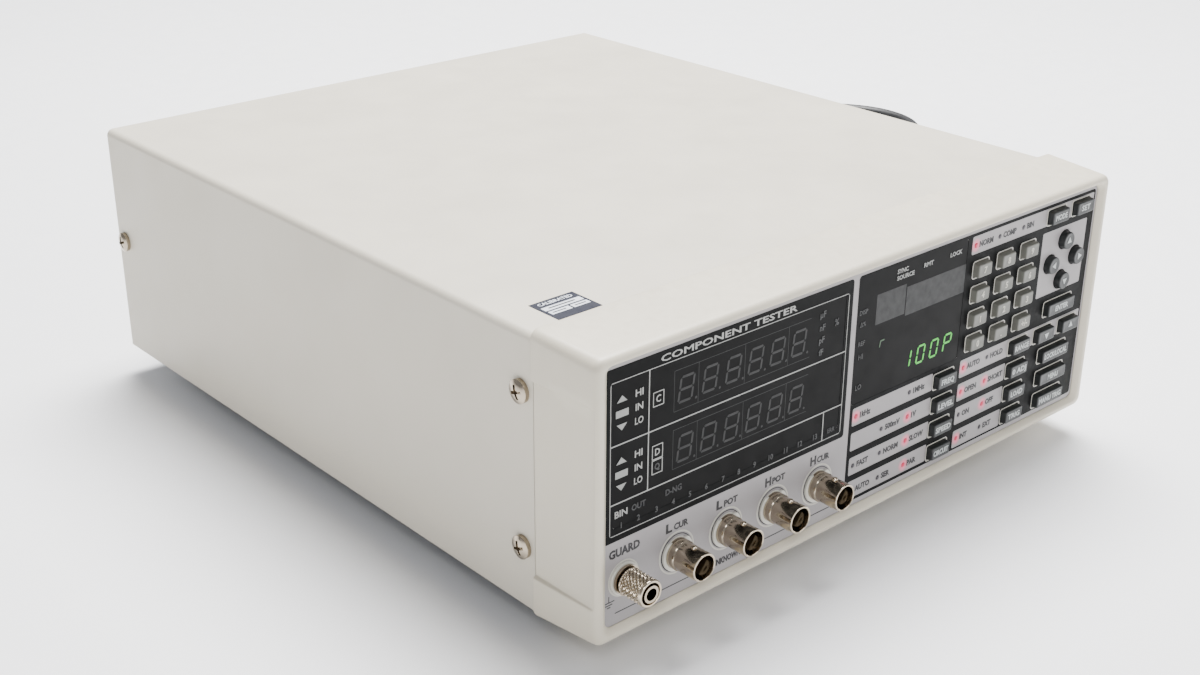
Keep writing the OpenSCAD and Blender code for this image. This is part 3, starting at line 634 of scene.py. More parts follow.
# the camera: place in metres; azimuth, elevation and roll in degrees; focal length in millimetres
CAMERA_AT = (-0.40371, -0.45665, 0.30023)
CAMERA_ANGLES = (-41.71, 24.04, 0.33)
CAMERA_LENS = 48.70


class TESTER_OT_stage(Builder, bpy.types.Operator):
    """Camera at the viewing angle, plain pale floor and soft light"""
    bl_idname = "tester.stage"
    bl_label = "Stage"

    def execute(self, context):
        sc, st = context.scene, context.scene.tester_stage
        cam = bpy.data.cameras.new("camera")
        cam.sensor_width, cam.lens = 36.0, CAMERA_LENS
        cam.clip_start, cam.clip_end = 0.01, 50
        ob = bpy.data.objects.new("camera", cam)
        sc.collection.objects.link(ob)
        a, e, roll = (math.radians(d) for d in CAMERA_ANGLES)
        back = Vector((math.sin(a) * math.cos(e), -math.cos(a) * math.cos(e), math.sin(e)))
        right = Vector((0, 0, 1)).cross(back).normalized()
        up = back.cross(right)
        side, top = right * math.cos(roll) + up * math.sin(roll), up * math.cos(roll) - right * math.sin(roll)
        ob.matrix_world = Matrix.Translation(CAMERA_AT) @ \
            Matrix((side, top, back)).transposed().to_4x4()
        sc.camera = ob

        reach = 4.0
        f = plain("floor_pale", st.floor, 0.55, 0.015, 0.4, 0.002, 0.00002, spec=0.3)
        corners = np.array([[-reach, -reach, 0], [reach, -reach, 0], [reach, reach, 0], [-reach, reach, 0]])
        drop = corners - [0, 0, 0.02]
        v = np.concatenate([corners, drop])
        q = np.array([[0, 1, 2, 3], [7, 6, 5, 4], [1, 0, 4, 5], [2, 1, 5, 6], [3, 2, 6, 7], [0, 3, 7, 4]])
        floor = put("floor", [(f, (v, face_out(v, [q])))], None)

        for name, power, place, wide, aim in (
                ("main_light", st.key_power, (0.5, 0.4, 1.6), 1.2, (0.1, 0, 0.05)),
                ("panel_light", st.fill_power, (0.55, -1.3, 0.75), 1.1, (0, -0.1, 0.05)),
                ("small_light", st.spark_power, (-0.75, -0.75, 0.95), 0.3, (-0.05, -0.14, 0.03))):
            lamp = bpy.data.lights.new(name, "AREA")
            lamp.shape, lamp.size, lamp.energy = "DISK", wide, power
            lo = bpy.data.objects.new(name, lamp)
            lo.location = place
            lo.rotation_euler = (Vector(aim) - Vector(place)).to_track_quat("-Z", "Y").to_euler()
            sc.collection.objects.link(lo)
        world = bpy.data.worlds.new("room")
        world.use_nodes = True
        bg = world.node_tree.nodes["Background"]
        bg.inputs["Color"].default_value = (0.93, 0.95, 1.0, 1)
        bg.inputs["Strength"].default_value = st.sky
        sc.world = world
        make_finishes(sc)
        return {"FINISHED"}


# the lead's route in millimetres, the same as the solid's
LEAD = np.array([
    [95, 215, 35.7], [95, 226, 35], [95, 238, 31.5], [95, 250, 25], [95, 262, 17], [95.5, 274, 10],
    [98, 286, 5.4], [103, 297, 3.8], [111, 306, 3.6], [122, 312, 3.6], [136, 314, 3.6], [165, 313, 3.6],
    [200, 308, 3.6], [235, 298, 3.6], [268, 284, 3.6], [300, 268, 3.6], [330, 253, 3.6],
    [356, 241.5, 3.6], [379.5, 231, 3.6], [397, 219, 3.6], [409, 204, 3.6], [415, 187, 3.6],
    [413.5, 168, 3.6], [404, 152, 3.6], [388, 140.5, 3.6], [368, 132, 3.6], [345, 128.5, 3.6],
    [320, 127.5, 3.6], [290, 127.5, 3.6]], float)
TAIL = np.array([[248, 136, 10.8], [236, 136, 10.8], [224, 136, 10.4], [212, 136, 10], [199, 136, 10]], float)
# the coil's centre, the middle radius of its turns, and where the tie goes round it in degrees
COIL, COIL_R, TIE_AT = (275.0, 176.0), 38, 62


def smooth_line(p, m):
    """m points between each pair of route points on a Catmull-Rom curve."""
    i = np.arange(len(p) - 1)
    a, b, c, d = p[np.maximum(i - 1, 0)], p[i], p[i + 1], p[np.minimum(i + 2, len(p) - 1)]
    t = (np.arange(m) / m)[None, :, None]
    a, b, c, d = (q[:, None] for q in (a, b, c, d))
    s = 0.5 * (2 * b + (c - a) * t + (2 * a - 5 * b + 4 * c - d) * t ** 2 + (3 * b - a - 3 * c + d) * t ** 3)
    return np.concatenate([s.reshape(-1, 3), p[-1:]])


def lead_line():
    """The lead from its strain relief to its plug: the open run, three turns inward on the floor, a climb
    at the inside, nearly two turns outward on top of them, and the tail."""
    t = np.linspace(0, 5, 5 * 36 + 1)
    r = np.where(t < 3, 48.5 - 7 * t, np.where(t < 3.2, 27.5, 27.5 + (40 - 27.5) / 1.8 * (t - 3.2)))
    r = np.convolve(np.pad(r, 3, mode="edge"), np.ones(7) / 7, "valid")
    z = np.interp(t, [0, 2.95, 3.25, 5], [3.6, 3.6, 10.8, 10.8])
    a = -math.pi / 2 - 2 * math.pi * t
    coil = np.stack([COIL[0] + r * np.cos(a), COIL[1] + r * np.sin(a), z], 1)
    return np.concatenate([smooth_line(LEAD, 5), coil, smooth_line(TAIL, 4)[1:]]) * MM


def tube(line, radius, sides):
    """Skin round a line: each ring is radius (cos a, sin a) in the level and upright directions across the
    line's own direction."""
    along = np.gradient(line, axis=0)
    along /= np.linalg.norm(along, axis=1)[:, None]
    level = np.cross([0, 0, 1.0], along)
    level /= np.linalg.norm(level, axis=1)[:, None]
    upright = np.cross(along, level)
    a = np.arange(sides) * 2 * math.pi / sides
    return loft(line[:, None] + radius * (np.cos(a)[None, :, None] * level[:, None]
                                         + np.sin(a)[None, :, None] * upright[:, None]))


class TESTER_OT_lead(Builder, bpy.types.Operator):
    """Mains lead with its coil and the tie round the coil"""
    bl_idname = "tester.lead"
    bl_label = "Mains lead"

    def execute(self, context):
        F, st = FINISHES, context.scene.tester_lead
        line = lead_line()
        cord = put("lead", [(F["cord_black"], tube(line, st.thickness / 2 * 0.985, st.sides))], "case",
                   60)
        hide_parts("mains_cord", "mains_coil")
        # the tie: a strap 9 mm wide round the coil's section, thin where it lies under the coil
        a = np.arange(48) * 2 * math.pi / 48
        power = lambda c: np.sign(c) * np.abs(c) ** 0.45
        u, w = power(np.cos(a)) * 14.1, power(np.sin(a)) * 7.0
        thick = np.where(np.sin(a) < -0.2, 0.07, 0.75)
        place = math.radians(TIE_AT)
        rows = []
        for s, grow in ((-4.5, 0), (-4.2, 1), (4.2, 1), (4.5, 0)):
            k = thick * grow
            rad = COIL_R + u + k * np.cos(a)
            up = 7.1 + w + np.where(np.sin(a) < 0, 0, k * np.sin(a))
            rows.append(np.stack([COIL[0] + rad * math.cos(place) - s * math.sin(place),
                                  COIL[1] + rad * math.sin(place) + s * math.cos(place),
                                  np.maximum(up, 0.02)], 1))
        tie = put("lead_tie", [(F["tie_grey"], band(np.array(rows) * MM))], "case", 40)
        return {"FINISHED"}


# the rounded nose of the front frame: depth behind the face, inset and corner radius
NOSE = ((0.0, 2.1, 2.2), (0.12, 1.35, 2.7), (0.45, 0.72, 3.2), (1.0, 0.28, 3.6), (1.8, 0.05, 3.9),
        (2.6, 0.0, 4.0))
# its lip and hidden inside: depth, width, height, middle height and corner radius
LIP = ((0.02, 253.6, 91.6, 49.85, 3.0), (0.25, 252.9, 91.0, 49.9, 2.9), (1.7, 249.0, 88.9, 50.3, 2.5),
       (1.95, 248.7, 88.7, 50.3, 2.4), (1.99, 251.6, 91.6, 50.3, 2.4), (27.6, 251.6, 91.6, 50.3, 2.4))
EAR_LOW, EAR_HIGH = 15.2, 82.9
SEAM_DEPTH = 28.0


def frame_outline(w, h, r, cz):
    """A rounded rectangle (k, 2) with the same count of points for every size: nine on each corner, eight
    along the top and bottom, and heights on the sides that lie close together where the ears end."""
    corners = rounded(0, cz, w, h, r, 9)[0].reshape(4, 9, 2)
    step = np.linspace(-0.35, 0.35, 5)
    heights = np.concatenate([[11, 14], EAR_LOW + step, np.linspace(20, 78, 7), EAR_HIGH + step, [86, 90]])
    across = np.linspace(0.9, -0.9, 8) * (w / 2 - r)
    side = lambda x, z: np.stack([np.full(len(z), x), z], 1)
    level = lambda z, x: np.stack([x, np.full(len(x), z)], 1)
    return np.concatenate([corners[0], level(cz + h / 2, across), corners[1], side(-w / 2, heights[::-1]),
                           corners[2], level(cz - h / 2, across[::-1]), corners[3], side(w / 2, heights)])


def bezel_shape():
    """The front frame as one closed skin: outlines from the seam forward along the outside, over a rounded
    nose and back down the sloped lip to the panel, then along the hidden inside. The outside narrows by
    1.5 mm towards the front. Between the ears each side sinks, by smooth steps, to the plane of the
    case."""
    lo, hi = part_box("front_bezel")
    case_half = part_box("top_cover")[1][0] / MM
    wide, high = (hi[0] - lo[0]) / MM, (hi[2] - lo[2]) / MM
    ease = lambda t: np.clip(t, 0, 1) ** 2 * (3 - 2 * np.clip(t, 0, 1))
    rows = []
    outside = [(SEAM_DEPTH, 0.3, 3.2), (27.85, 0.06, 3.2), (27.5, 0.0, 3.2)]
    outside += [(d, 0.0, 4.0 - 0.8 * d / SEAM_DEPTH) for d in (22.0, 14.0, 8.0, 4.5)]
    for depth, inset, r in outside + list(NOSE[::-1]):
        tw = 1.5 * (1 - depth / SEAM_DEPTH) + inset
        p = frame_outline(wide - 2 * tw, high - 2 * tw, r, high / 2)
        hollow = ease((p[:, 1] - EAR_LOW) / 0.7 + 0.5) * ease((EAR_HIGH - p[:, 1]) / 0.7 + 0.5)
        hollow = hollow * ease(depth - 1.2)
        sunk = np.minimum(np.abs(p[:, 0]), case_half - 0.7 * (29 - depth) / 27)
        at_side = np.abs(p[:, 0]) > wide / 2 - 4
        x = np.where(at_side, np.sign(p[:, 0]) * (np.abs(p[:, 0]) * (1 - hollow) + sunk * hollow), p[:, 0])
        rows.append(np.stack([x, np.full(len(p), depth), p[:, 1]], 1))
    for depth, w, h, cz, r in LIP:
        p = frame_outline(w, h, r, cz)
        rows.append(np.stack([p[:, 0], np.full(len(p), depth), p[:, 1]], 1))
    v = np.array(rows) * MM + [0, FACE_Y, BASE_Z]
    return band(v)


class TESTER_OT_bezel(Builder, bpy.types.Operator):
    """The moulded front frame, with its ears, rounded nose and sloped lip"""
    bl_idname = "tester.bezel"
    bl_label = "Front frame"

    def execute(self, context):
        # four lugs behind the frame take the front screws of the cover
        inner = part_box("bottom_chassis")[1][0] / MM
        lugs = [rounded(side * (inner - 1.5), height, 3.0, 12.0, 0.4, 3)[0]
                for side in (-1, 1) for height in (23.2, 77.4)]
        lug_part = prisms(lugs, FACE_Y + 26 * MM, FACE_Y + 40 * MM)
        skin = (FINISHES["bezel_plastic"], join([bezel_shape(), lug_part]))
        ob = put("bezel_frame", [skin], "case", 40)
        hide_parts("front_bezel")
        return {"FINISHED"}


class TESTER_OT_finishes(Builder, bpy.types.Operator):
    """Finishes of the parts that keep their own shape"""
    bl_idname = "tester.finishes"
    bl_label = "Finishes"

    def execute(self, context):
        slots = {s["node"]: s["material_slot"] for s in frame["record"]["subparts"]}
        for node, ob in frame["nodes"].items():
            if node not in slots:
                continue
            ob.data.materials.clear()
            ob.data.materials.append(FINISHES[slots[node]])
        return {"FINISHED"}


class TESTER_OT_panel_print(Builder, bpy.types.Operator):
    """Dark display blocks, silver strips, outlines, rules and lettering of the front film"""
    bl_idname = "tester.panel_print"
    bl_label = "Panel print"

    def execute(self, context):
        F = FINISHES
        lift = context.scene.tester_panel.film_lift
        film_y, ink_y = PANEL_Y - lift, PANEL_Y - 2 * lift
        left = film("left_block", [rounded(-70.5, 64.35, 108.8, 57.7, 1.2)[0],
                                   rounded(*window("left"), 0.8)[0]], film_y, PANEL_Y)
        holes = soft_cells(STRIPS, 0.7)
        holes.append(rounded(*window("right"), 0.8)[0])
        for kind in ("number", "function", "wide"):
            for node in KEY_NAMES[kind]:
                x, z = spot(node)
                if node in ("key_range", "key_down", "key_up", "key_mode", "key_set"):
                    continue
                w, h = FACE[kind]
                holes.append(rounded(x, z, w + 1.0, h + 1.0, 0.8)[0])
        right = film("right_block", [rounded(55.0, 50.55, 136.8, 85.3, 1.2)[0]] + holes, film_y, PANEL_Y)
        put("display_blocks", [(F["block_black"], join([left, right]))], "case")

        # outlines round the keys, the frame of the left display and its rules
        w = {"number": (9.7, 6.9), "function": (12.3, 6.7), "wide": (18.7, 6.8)}
        out, inn = [], []
        for kind, (a, b) in w.items():
            for node in KEY_NAMES[kind]:
                x, z = spot(node)
                out.append(rounded(x, z, a, b, 1.2)[0])
                inn.append(rounded(x, z, a - 0.8, b - 0.8, 0.85)[0])
        outlines = rings(out, inn, ink_y, PANEL_Y)
        put("key_outlines", [(F["ink_cream"], outlines)], "case")
        spans = [(-122.5, -107.6, 68.2, 88.5), (-122.5, -107.6, 48.6, 67.8), (-107.2, -18.3, 68.2, 88.5),
                 (-107.2, -18.3, 48.6, 67.8), (-122.5, -27.5, 37.8, 48.2), (-27.1, -18.3, 37.8, 48.2)]
        frame_loops = [rounded(-70.4, 63.15, 104.7, 51.2, 1.0)[0]] + soft_cells(spans, 0.12)
        rules = film("rules", frame_loops, ink_y, film_y)
        box_o = rounded([-103.55, -103.55, -103.55], [78.15, 60.35, 55.35], 4.5, 4.9, 0.15)
        box_i = rounded([-103.55, -103.55, -103.55], [78.15, 60.35, 55.35], 3.9, 4.3, 0.1)
        boxes = rings(box_o, box_i, ink_y, film_y)
        words = [("COMPONENT TESTER", -73.2, 90.7, 2.1, 59.0, 0), ("BIN", -118.1, 44.6, 2.2, 5.0, 0)]
        for z in (82.7, 62.6):
            words += [("HI", -111.3, z, 2.2, 3.0, 0), ("IN", -111.3, z - 4.6, 2.2, 2.9, 0),
                      ("LO", -111.3, z - 9.15, 2.2, 3.3, 0)]
        words += [("C", -103.55, 78.15, 2.2, 0, 0), ("D", -103.55, 60.35, 2.2, 0, 0)]
        bars = prisms(rounded([-118.1, -118.1], [78.0, 57.9], 5.0, 2.3, 0.1, 3), ink_y, film_y)
        tri = lambda x, z, a, b, up: [[x - a / 2, z - up * b / 2], [x + a / 2, z - up * b / 2],
                                      [x, z + up * b / 2]][::up]
        points = ((82.8, 1), (73.5, -1), (62.5, 1), (53.4, -1))
        arrows = prisms([tri(-118.2, z, 4.1, 2.1, up) for z, up in points], ink_y, film_y)
        put("display_ink", [(F["ink_light"], join([rules, boxes, lettering(words, ink_y, film_y, 0.018)])),
                            (F["ink_mid"], join([bars, arrows]))], "case")

        dim = [("µF", -30.7, 84.7, 2.1, 0, 0), ("nF", -30.7, 80.1, 2.1, 0, 0), ("pF", -30.7, 75.7, 2.1, 0, 0),
               ("fF", -30.7, 71.3, 2.1, 0, 0)]
        dim += [("%d" % n, x, 40.4, 1.9, 0, 0) for n, x in enumerate(
            (-118, -110.9, -103.4, -96.3, -89.1, -81.9, -74.4, -67.3, -60, -52.4, -45.3, -38.3, -30.9), 1)]
        dim += [("Q", -103.55, 55.35, 2.0, 0, 0)]
        put("display_ink_dim", [(F["ink_dim"], lettering(dim, ink_y, PANEL_Y, 0.02)),
                                (F["ink_faint"], lettering(
                                    [("OUT", -110.9, 44.6, 2.0, 0, 0), ("D-NG", -96.3, 44.6, 2.0, 0, 0),
                                     ("%", -23.7, 80.1, 2.2, 0, 0), ("ERR", -22.9, 40.4, 1.6, 0, 0)],
                                    ink_y, PANEL_Y, 0.02))], "case")
        right_words = [("SYNC", 6.3, 89.7, 1.5, 5.6, -1), ("SOURCE", 6.3, 87.3, 1.5, 9.0, -1),
                       ("RMT", 23.1, 88.4, 1.5, 5.0, 0), ("LOCK", 38.3, 88.4, 1.5, 6.4, 0)]
        right_dim = [("DISP", -10.1, 79.7, 1.6, 0, 0), ("Δ%", -10.1, 75.3, 1.6, 0, 0),
                     ("REF", -10.1, 68.3, 1.6, 0, 0), ("HI", -10.1, 63.4, 1.8, 0, 0),
                     ("LO", -10.1, 52.1, 1.8, 0, 0)]
        put("status_ink", [(F["ink_mid"], lettering(right_words, ink_y, film_y, 0.03)),
                           (F["ink_dim"], lettering(right_dim, ink_y, PANEL_Y, 0.01))], "case")

        # dark ink on the silver film
        dark = [(t, x + 2.1, z, 2.0, 0, -1) for t, x, z, _ in LAMPS]
        dark.append(("GUARD", -116.4, 31.2, 2.7, 12.4, 0))
        for big, wide, small, x in (("L", 2.2, "CUR", -94.1), ("L", 2.2, "POT", -71.9),
                                    ("H", 2.5, "POT", -49.4), ("H", 2.5, "CUR", -27.4)):
            dark += [(big, x - 4.7, 31.3, 3.0, wide, -1), (small, x - 1.4, 30.9, 2.1, 5.9, -1)]
        dark.append(("UNKNOWN", -71.2, 9.9, 2.1, 12.6, 0))
        lines = [(-120.1, -78.2, 9.75, 10.05), (-64.2, -21, 9.75, 10.05)]
        lines += [(-122.8, -122.55, 14.9, 16.9), (-125.0, -120.4, 14.6, 14.9), (-124.2, -121.2, 13.7, 14.0),
                  (-123.4, -122.0, 12.8, 13.1)]
        rule = prisms(cells(lines), film_y, PANEL_Y)
        put("film_ink", [(F["ink_dark"], join([lettering(dark, film_y, PANEL_Y, 0.04), rule]))], "case")

        # cream printed rings round the terminals
        at = [(x, TERMINAL_Z) for x in TERMINALS]
        guard = [(GUARD_X, TERMINAL_Z)]
        edge = lambda r, guard_r: np.concatenate([discs(at, r, 64), discs(guard, guard_r, 64)])
        ring = rings(edge(7.6, 6.3), edge(7.05, 5.75), film_y, PANEL_Y)
        line = rings(discs(at, 6.65, 64), discs(at, 6.35, 64), film_y, PANEL_Y)
        put("terminal_rings", [(F["ink_cream"], ring), (F["ink_dark"], line)], "case")
        return {"FINISHED"}


def window(side):
    """Centre and size of a display window on the panel, left or right."""
    return (-70.4, 64.6, 102.0, 49.0) if side == "left" else (16.0, 69.0, 58.0, 46.0)


def seven(x, z, w, h, bar, slant, which="abcdefg"):
    """Seven-segment digit outlines: each segment is a long hexagon, and x leans by slant times height."""
    a, b = w / 2 - bar / 2, h / 2 - bar / 2
    gap, t = bar * 0.22, bar / 2
    across = lambda zz: [[-a + gap, zz], [-a + gap + t, zz - t], [a - gap - t, zz - t], [a - gap, zz],
                         [a - gap - t, zz + t], [-a + gap + t, zz + t]]
    down = lambda xx, z0, z1: [[xx, z0 + gap], [xx + t, z0 + gap + t], [xx + t, z1 - gap - t], [xx, z1 - gap],
                               [xx - t, z1 - gap - t], [xx - t, z0 + gap + t]]
    parts = {"a": across(b), "g": across(0), "d": across(-b), "f": down(-a, 0, b), "b": down(a, 0, b),
             "e": down(-a, -b, 0), "c": down(a, -b, 0)}
    s = np.array([parts[k] for k in which])
    s[..., 0] += s[..., 1] * slant + x
    s[..., 1] += z
    return s


class TESTER_OT_displays(Builder, bpy.types.Operator):
    """Unlit digits of the left display and the lit green digits of the right one"""
    bl_idname = "tester.displays"
    bl_label = "Displays"

    def execute(self, context):
        F = FINISHES
        lift = context.scene.tester_panel.film_lift
        xs = (-91.9, -81.7, -71.6, -61.6, -51.7, -41.7)
        segs = np.concatenate([seven(x, z, 6.4, h, 0.85, 0.14)
                               for z, h in ((77.9, 9.0), (57.9, 9.4)) for x in xs])
        dots = discs([(x + 4.2, z) for z in (73.4, 53.3) for x in xs], 0.45, 12)
        off = join([prisms(segs, PANEL_Y - lift * 0.7, PANEL_Y), prisms(dots, PANEL_Y - lift * 0.7, PANEL_Y)])
        seams = [(x - 0.1, x + 0.1, a, b) for a, b in ((71.3, 84.9), (51.7, 65.1))
                 for x in (-97.0, -86.8, -66.6, -46.7)]
        seams += [(-97, -36.3, z - 0.1, z + 0.1) for z in (71.3, 84.9, 51.7, 65.1)]
        edge = prisms(cells(seams), PANEL_Y - lift * 0.3, PANEL_Y)
        put("unlit_digits", [(F["segment_off"], off), (F["module_edge"], edge)], "case")
        shapes = {"1": "bc", "0": "abcdef", "P": "abefg"}
        lit_segs = np.concatenate([seven(x, 54.6, 4.5, 7.0, 0.72, 0.13, shapes[d])
                                   for x, d in ((15.5, "1"), (23.1, "0"), (30.6, "0"), (38.1, "P"))])
        faint = prisms([[[-0.5, 64], [0.0, 64], [0.4, 66.4], [-0.1, 66.4]],
                        [[0.3, 66.0], [2.0, 66.0], [2.1, 66.5], [0.4, 66.5]]], PANEL_Y - lift, PANEL_Y)
        put("lit_digits", [(F["segment_lit"], prisms(lit_segs, PANEL_Y - lift, PANEL_Y)),
                           (F["segment_faint"], faint)], "case")
        panes = [(12.3, 45, 72, 82.7), (-3.5, 11.8, 73, 84)]
        pane = prisms(cells(panes), PANEL_Y - lift * 0.3, PANEL_Y)
        put("display_pane", [(F["module_edge"], pane)], "case")
        return {"FINISHED"}


class TESTER_OT_lamps(Builder, bpy.types.Operator):
    """Small round status lamps, lit and dark, in the panel's silver strips"""
    bl_idname = "tester.lamps"
    bl_label = "Status lamps"

    def execute(self, context):
        F = FINISHES
        lift = context.scene.tester_panel.film_lift

        def domes(points):
            """Each lamp is a shallow dome: radius 0.75 cos a at lift (0.3 + 2 sin a), over a quarter turn."""
            out = []
            t = np.arange(24) * 2 * math.pi / 24
            for x, z in points:
                rows = []
                for r, y in ((0.75, 0.0), (0.75, 0.6), (0.68, 1.4), (0.45, 2.1), (0.2, 2.4)):
                    rows.append(np.stack([(x + r * np.cos(t)) * MM, PANEL_Y - y * lift + 0 * t,
                                          BASE_Z + (z + r * np.sin(t)) * MM], 1))
                out.append(loft(np.array(rows)))
            return join(out)
        ob = put("lamps", [(F["lamp_red"], domes(LIT_LAMPS)), (F["lamp_off"], domes(DARK_LAMPS))], "case",
                 40)
        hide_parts("status_lamps")
        return {"FINISHED"}


def cap_shape(node, kind, st):
    """A key cap: rounded rectangles, or circles for the cursor keys, from the flange behind the panel to the
    front. The sides narrow evenly by the draft, the last part follows a quarter circle, and the front
    sinks by a cosine dish."""
    lo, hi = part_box(node)
    x, z = spot(node)
    front, rear = lo[1] / MM, hi[1] / MM
    flange_y = PANEL_Y / MM + 2.4
    draft, edge, dish = st.draft / MM, st.edge / MM, st.dish / MM
    steps = [(rear, 0.0, True), (flange_y + 0.05, 0.0, True), (flange_y, 0.0, False),
             (PANEL_Y / MM, 0.05, False)]
    q = np.linspace(0, math.pi / 2, 6)
    steps += [(front + edge * (1 - math.sin(a)), draft + edge * (1 - math.cos(a)), False) for a in q]
    steps += [(front + dish * k, draft + edge + s, False) for s, k in ((0.35, 0.25), (0.9, 0.7), (1.6, 1.0))]
    rows = []
    for y, inset, flange in steps:
        if kind == "cursor":
            r = 3.6 + (0.8 if flange else 0) - inset
            loop = discs([(x, z)], r, 48)[0]
        else:
            w, h = FACE[kind]
            w, h = (w + 1.6, h + 1.2) if flange else (w, h)
            loop = rounded(x, z, w - 2 * inset, h - 2 * inset, max(0.15, 0.8 - inset * 0.45), 6)[0]
        rows.append(np.stack([loop[:, 0] * MM, np.full(len(loop), y * MM), BASE_Z + loop[:, 1] * MM], 1))
    return loft(np.array(rows))


class TESTER_OT_keys(Builder, bpy.types.Operator):
    """The thirty-two key caps with their legends, each riding on its own key"""
    bl_idname = "tester.keys"
    bl_label = "Keys"

    def execute(self, context):
        F, st = FINISHES, context.scene.tester_keys
        for kind, names in KEY_NAMES.items():
            for node in names:
                x, z = spot(node)
                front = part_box(node)[0][1]
                cap = cap_shape(node, kind, st)
                back, face = front + 0.0003, front + 0.00002
                if node in POINTS:
                    a = math.radians(POINTS[node]) + np.array([0, 2, 4]) * math.pi / 3
                    legend = prisms([np.stack([x + 1.5 * np.cos(a), z + 1.5 * np.sin(a)], 1)], face, back)
                else:
                    text = KEY_WORDS[node]
                    wide = {"number": 0, "function": min(8.4, 1.75 * len(text)),
                            "wide": min(14.2, 1.6 * len(text))}[kind]
                    high = 2.3 if kind == "number" else 2.0
                    legend = lettering([(text, x, z, high, wide, 0)], face, back, 0.03)
                ob = put(node + "_cap", [(F["key_grey" if kind == "number" else "key_dark"], cap),
                                         (F["legend_pale" if kind == "number" else "legend_white"], legend)],
                         node, 35)
                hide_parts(node)
        return {"FINISHED"}


class TESTER_OT_terminals(Builder, bpy.types.Operator):
    """The four coaxial barrels with bayonet lugs, and the knurled guard knob"""
    bl_idname = "tester.terminals"
    bl_label = "Terminals"

    def execute(self, context):
        F, st = FINISHES, context.scene.tester_terminals
        mouth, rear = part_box("bnc_bodies")[0][1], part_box("bnc_bodies")[1][1]
        deep = (rear - mouth) / MM
        z = BASE_Z + TERMINAL_Z * MM
        profile = [(4.05, 9.2), (4.05, 0.45), (4.12, 0.15), (4.3, 0), (4.6, 0), (4.78, 0.1), (4.85, 0.35),
                   (4.85, 8.9), (5.15, 9.25), (5.2, 9.4), (5.2, 12.4), (4.85, 12.5), (4.85, deep),
                   (3.2, deep), (3.2, 9.2)]
        parts = []
        for x in TERMINALS:
            parts.append(turned(profile, x * MM, z, mouth, 72))
            parts.append(hex_nut(x * MM, z))
            for s in (-1, 1):
                parts.append(lug(x * MM, mouth + 5 * MM, z, s))
        ob = put("coax_barrels", [(F["nickel"], join(parts))], "case", 35)
        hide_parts("bnc_bodies")

        lo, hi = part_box("guard_knob")
        gx = GUARD_X * MM
        count, depth = st.knurl_count, st.knurl_depth / MM
        # grooves cross in two directions: the skin sinks where either slanting wave is near its low point
        seg, rows = count * 8, 96
        t = np.arange(seg) * 2 * math.pi / seg
        start, end = 0.95, (hi[1] - lo[1]) / MM - 0.5
        s = np.linspace(start, end, rows)
        pitch = math.pi * 9.4 / count
        saw = lambda q: np.abs((q % 1.0) - 0.5) * 2
        one = saw(count * t[None] / (2 * math.pi) + s[:, None] / pitch)
        two = saw(count * t[None] / (2 * math.pi) - s[:, None] / pitch)
        fade = np.minimum(1, np.minimum(s - start, end - s) / 0.35)[:, None]
        sink = np.clip(1.25 * np.maximum(one, two) - 0.25, 0, 1) ** 1.3
        knurl = 4.7 - 0.05 - depth * sink * fade
        bore = 2.98
        head = [(bore, 2.4), (3.45, 1.3), (3.6, 0.25), (3.72, 0.06), (3.85, 0.0), (4.2, 0.0), (4.38, 0.06),
                (4.55, 0.3), (4.65, 0.7)]
        tail = [(4.6, end + 0.15), (4.35, (hi[1] - lo[1]) / MM - 0.02), (bore, (hi[1] - lo[1]) / MM - 0.02)]
        ring = lambda ps: np.array([np.full(seg, r) for r, _ in ps])
        radius = np.concatenate([ring(head), knurl, ring(tail)])
        along = np.concatenate([[d for _, d in head], s, [d for _, d in tail]])
        pts = np.stack([gx + radius * MM * np.cos(t), lo[1] + np.repeat(along[:, None], seg, 1) * MM,
                        z + radius * MM * np.sin(t)], -1)
        knob = put("guard_grip", [(F["knurl_nickel"], band(pts))], "guard_knob", 25)
        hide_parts("guard_knob")
        return {"FINISHED"}


def lug(x, y, z, s):
    """A bayonet lug: circles of the listed radii stacked outward from the barrel, the last ones closing
    a shallow dome."""
    t = np.arange(20) * 2 * math.pi / 20
    rows = [np.stack([x + r * MM * np.cos(t), y + r * MM * np.sin(t), np.full(20, z + s * h * MM)], 1)
            for r, h in ((1.0, 4.5), (1.0, 5.45), (0.93, 5.6), (0.75, 5.7), (0.4, 5.74))]
    return loft(np.array(rows))


def hex_nut(x, z):
    """The hexagon nut behind the panel: six-sided rings with a bore, closed on themselves."""
    t = np.arange(6) * math.pi / 3 + math.pi / 6
    y0 = PANEL_Y + 2.9 * MM
    rows = [np.stack([x + r * MM * np.cos(t), np.full(6, y0 + d * MM), z + r * MM * np.sin(t)], 1)
            for r, d in ((4.9, 0), (7.6, 0), (8.0, 0.4), (8.0, 2.0), (7.6, 2.4), (4.9, 2.4))]
    return band(np.array(rows))


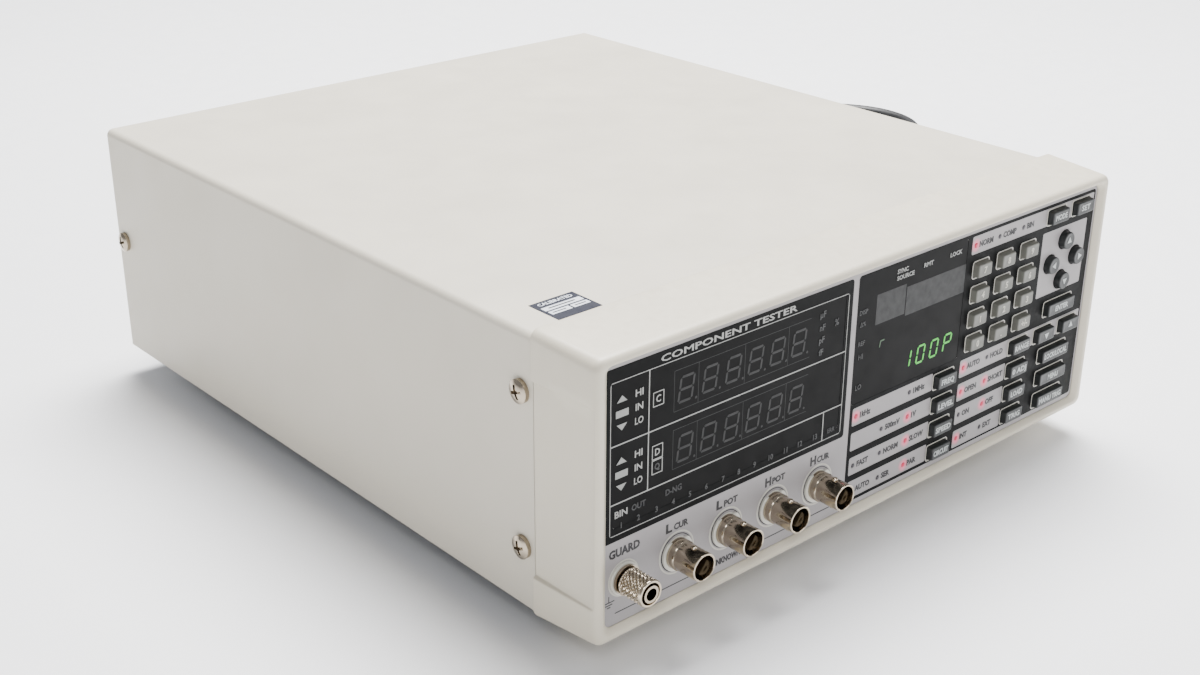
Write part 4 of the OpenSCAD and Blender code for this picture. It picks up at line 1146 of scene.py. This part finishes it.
class TESTER_OT_label(Builder, bpy.types.Operator):
    """The calibration sticker on the cover, with its white fields"""
    bl_idname = "tester.label"
    bl_label = "Sticker"

    def execute(self, context):
        F = FINISHES
        lo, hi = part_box("cal_label")
        x0, x1, y0, y1, top = lo[0] / MM, hi[0] / MM, lo[1] / MM, hi[1] / MM, hi[2]

        def laid(part):
            """A panel shape laid flat on the cover: its height becomes distance from the front."""
            v, faces = part
            flat = v.copy()
            flat[:, 1], flat[:, 2] = v[:, 2] - BASE_Z, top - v[:, 1]
            return flat, face_out(flat, faces)
        cx = (x0 + x1) / 2
        fields = rounded([cx, cx - 3.6, cx + 4.4], [y0 + 8.6, y0 + 5.3, y0 + 5.3], [15.3, 8.0, 6.6],
                         [2.6, 2.4, 2.4], 0.2, 3)
        white = laid(prisms(fields, -0.00006, 0.0))
        words = laid(lettering([("CALIBRATED", cx, y1 - 2.2, 1.7, 13.4, 0)], -0.00006, 0.0, 0.02))
        spans = [(cx - 5.5, cx + 5.0, y0 + 8.3, y0 + 9.0), (cx - 6.6, cx - 1.4, y0 + 5.0, y0 + 5.6),
                 (cx + 2.2, cx + 6.6, y0 + 5.0, y0 + 5.6)]
        marks = prisms(cells(spans), -0.00009, -0.00005)
        put("sticker_print", [(F["label_white"], join([white, words])), (F["ink_dark"], laid(marks))], "case")
        return {"FINISHED"}


class TESTER_PT_pieces(bpy.types.Panel):
    """Lists the builders and their settings"""
    bl_label = "Component tester"
    bl_idname = "TESTER_PT_pieces"
    bl_space_type = "VIEW_3D"
    bl_region_type = "UI"
    bl_category = "Tester"

    def draw(self, context):
        for group, kind in GROUPS:
            box = self.layout.box()
            for key in kind.__annotations__:
                box.prop(getattr(context.scene, group), key)
        for op in OPERATORS:
            self.layout.operator(op.bl_idname)


OPERATORS = (TESTER_OT_stage, TESTER_OT_lead, TESTER_OT_finishes, TESTER_OT_bezel, TESTER_OT_panel_print,
             TESTER_OT_displays, TESTER_OT_lamps, TESTER_OT_keys, TESTER_OT_terminals, TESTER_OT_label)
CLASSES = tuple(kind for _, kind in GROUPS) + OPERATORS + (TESTER_PT_pieces,)


def register():
    for c in CLASSES:
        bpy.utils.register_class(c)
    for name, kind in GROUPS:
        setattr(bpy.types.Scene, name, bpy.props.PointerProperty(type=kind))


def unregister():
    for name, _ in GROUPS:
        delattr(bpy.types.Scene, name)
    for c in reversed(CLASSES):
        bpy.utils.unregister_class(c)


def main():
    register()
    for op in OPERATORS:
        area, call = op.bl_idname.split(".")
        getattr(getattr(bpy.ops, area), call)()


if __name__ == "__main__":
    main()
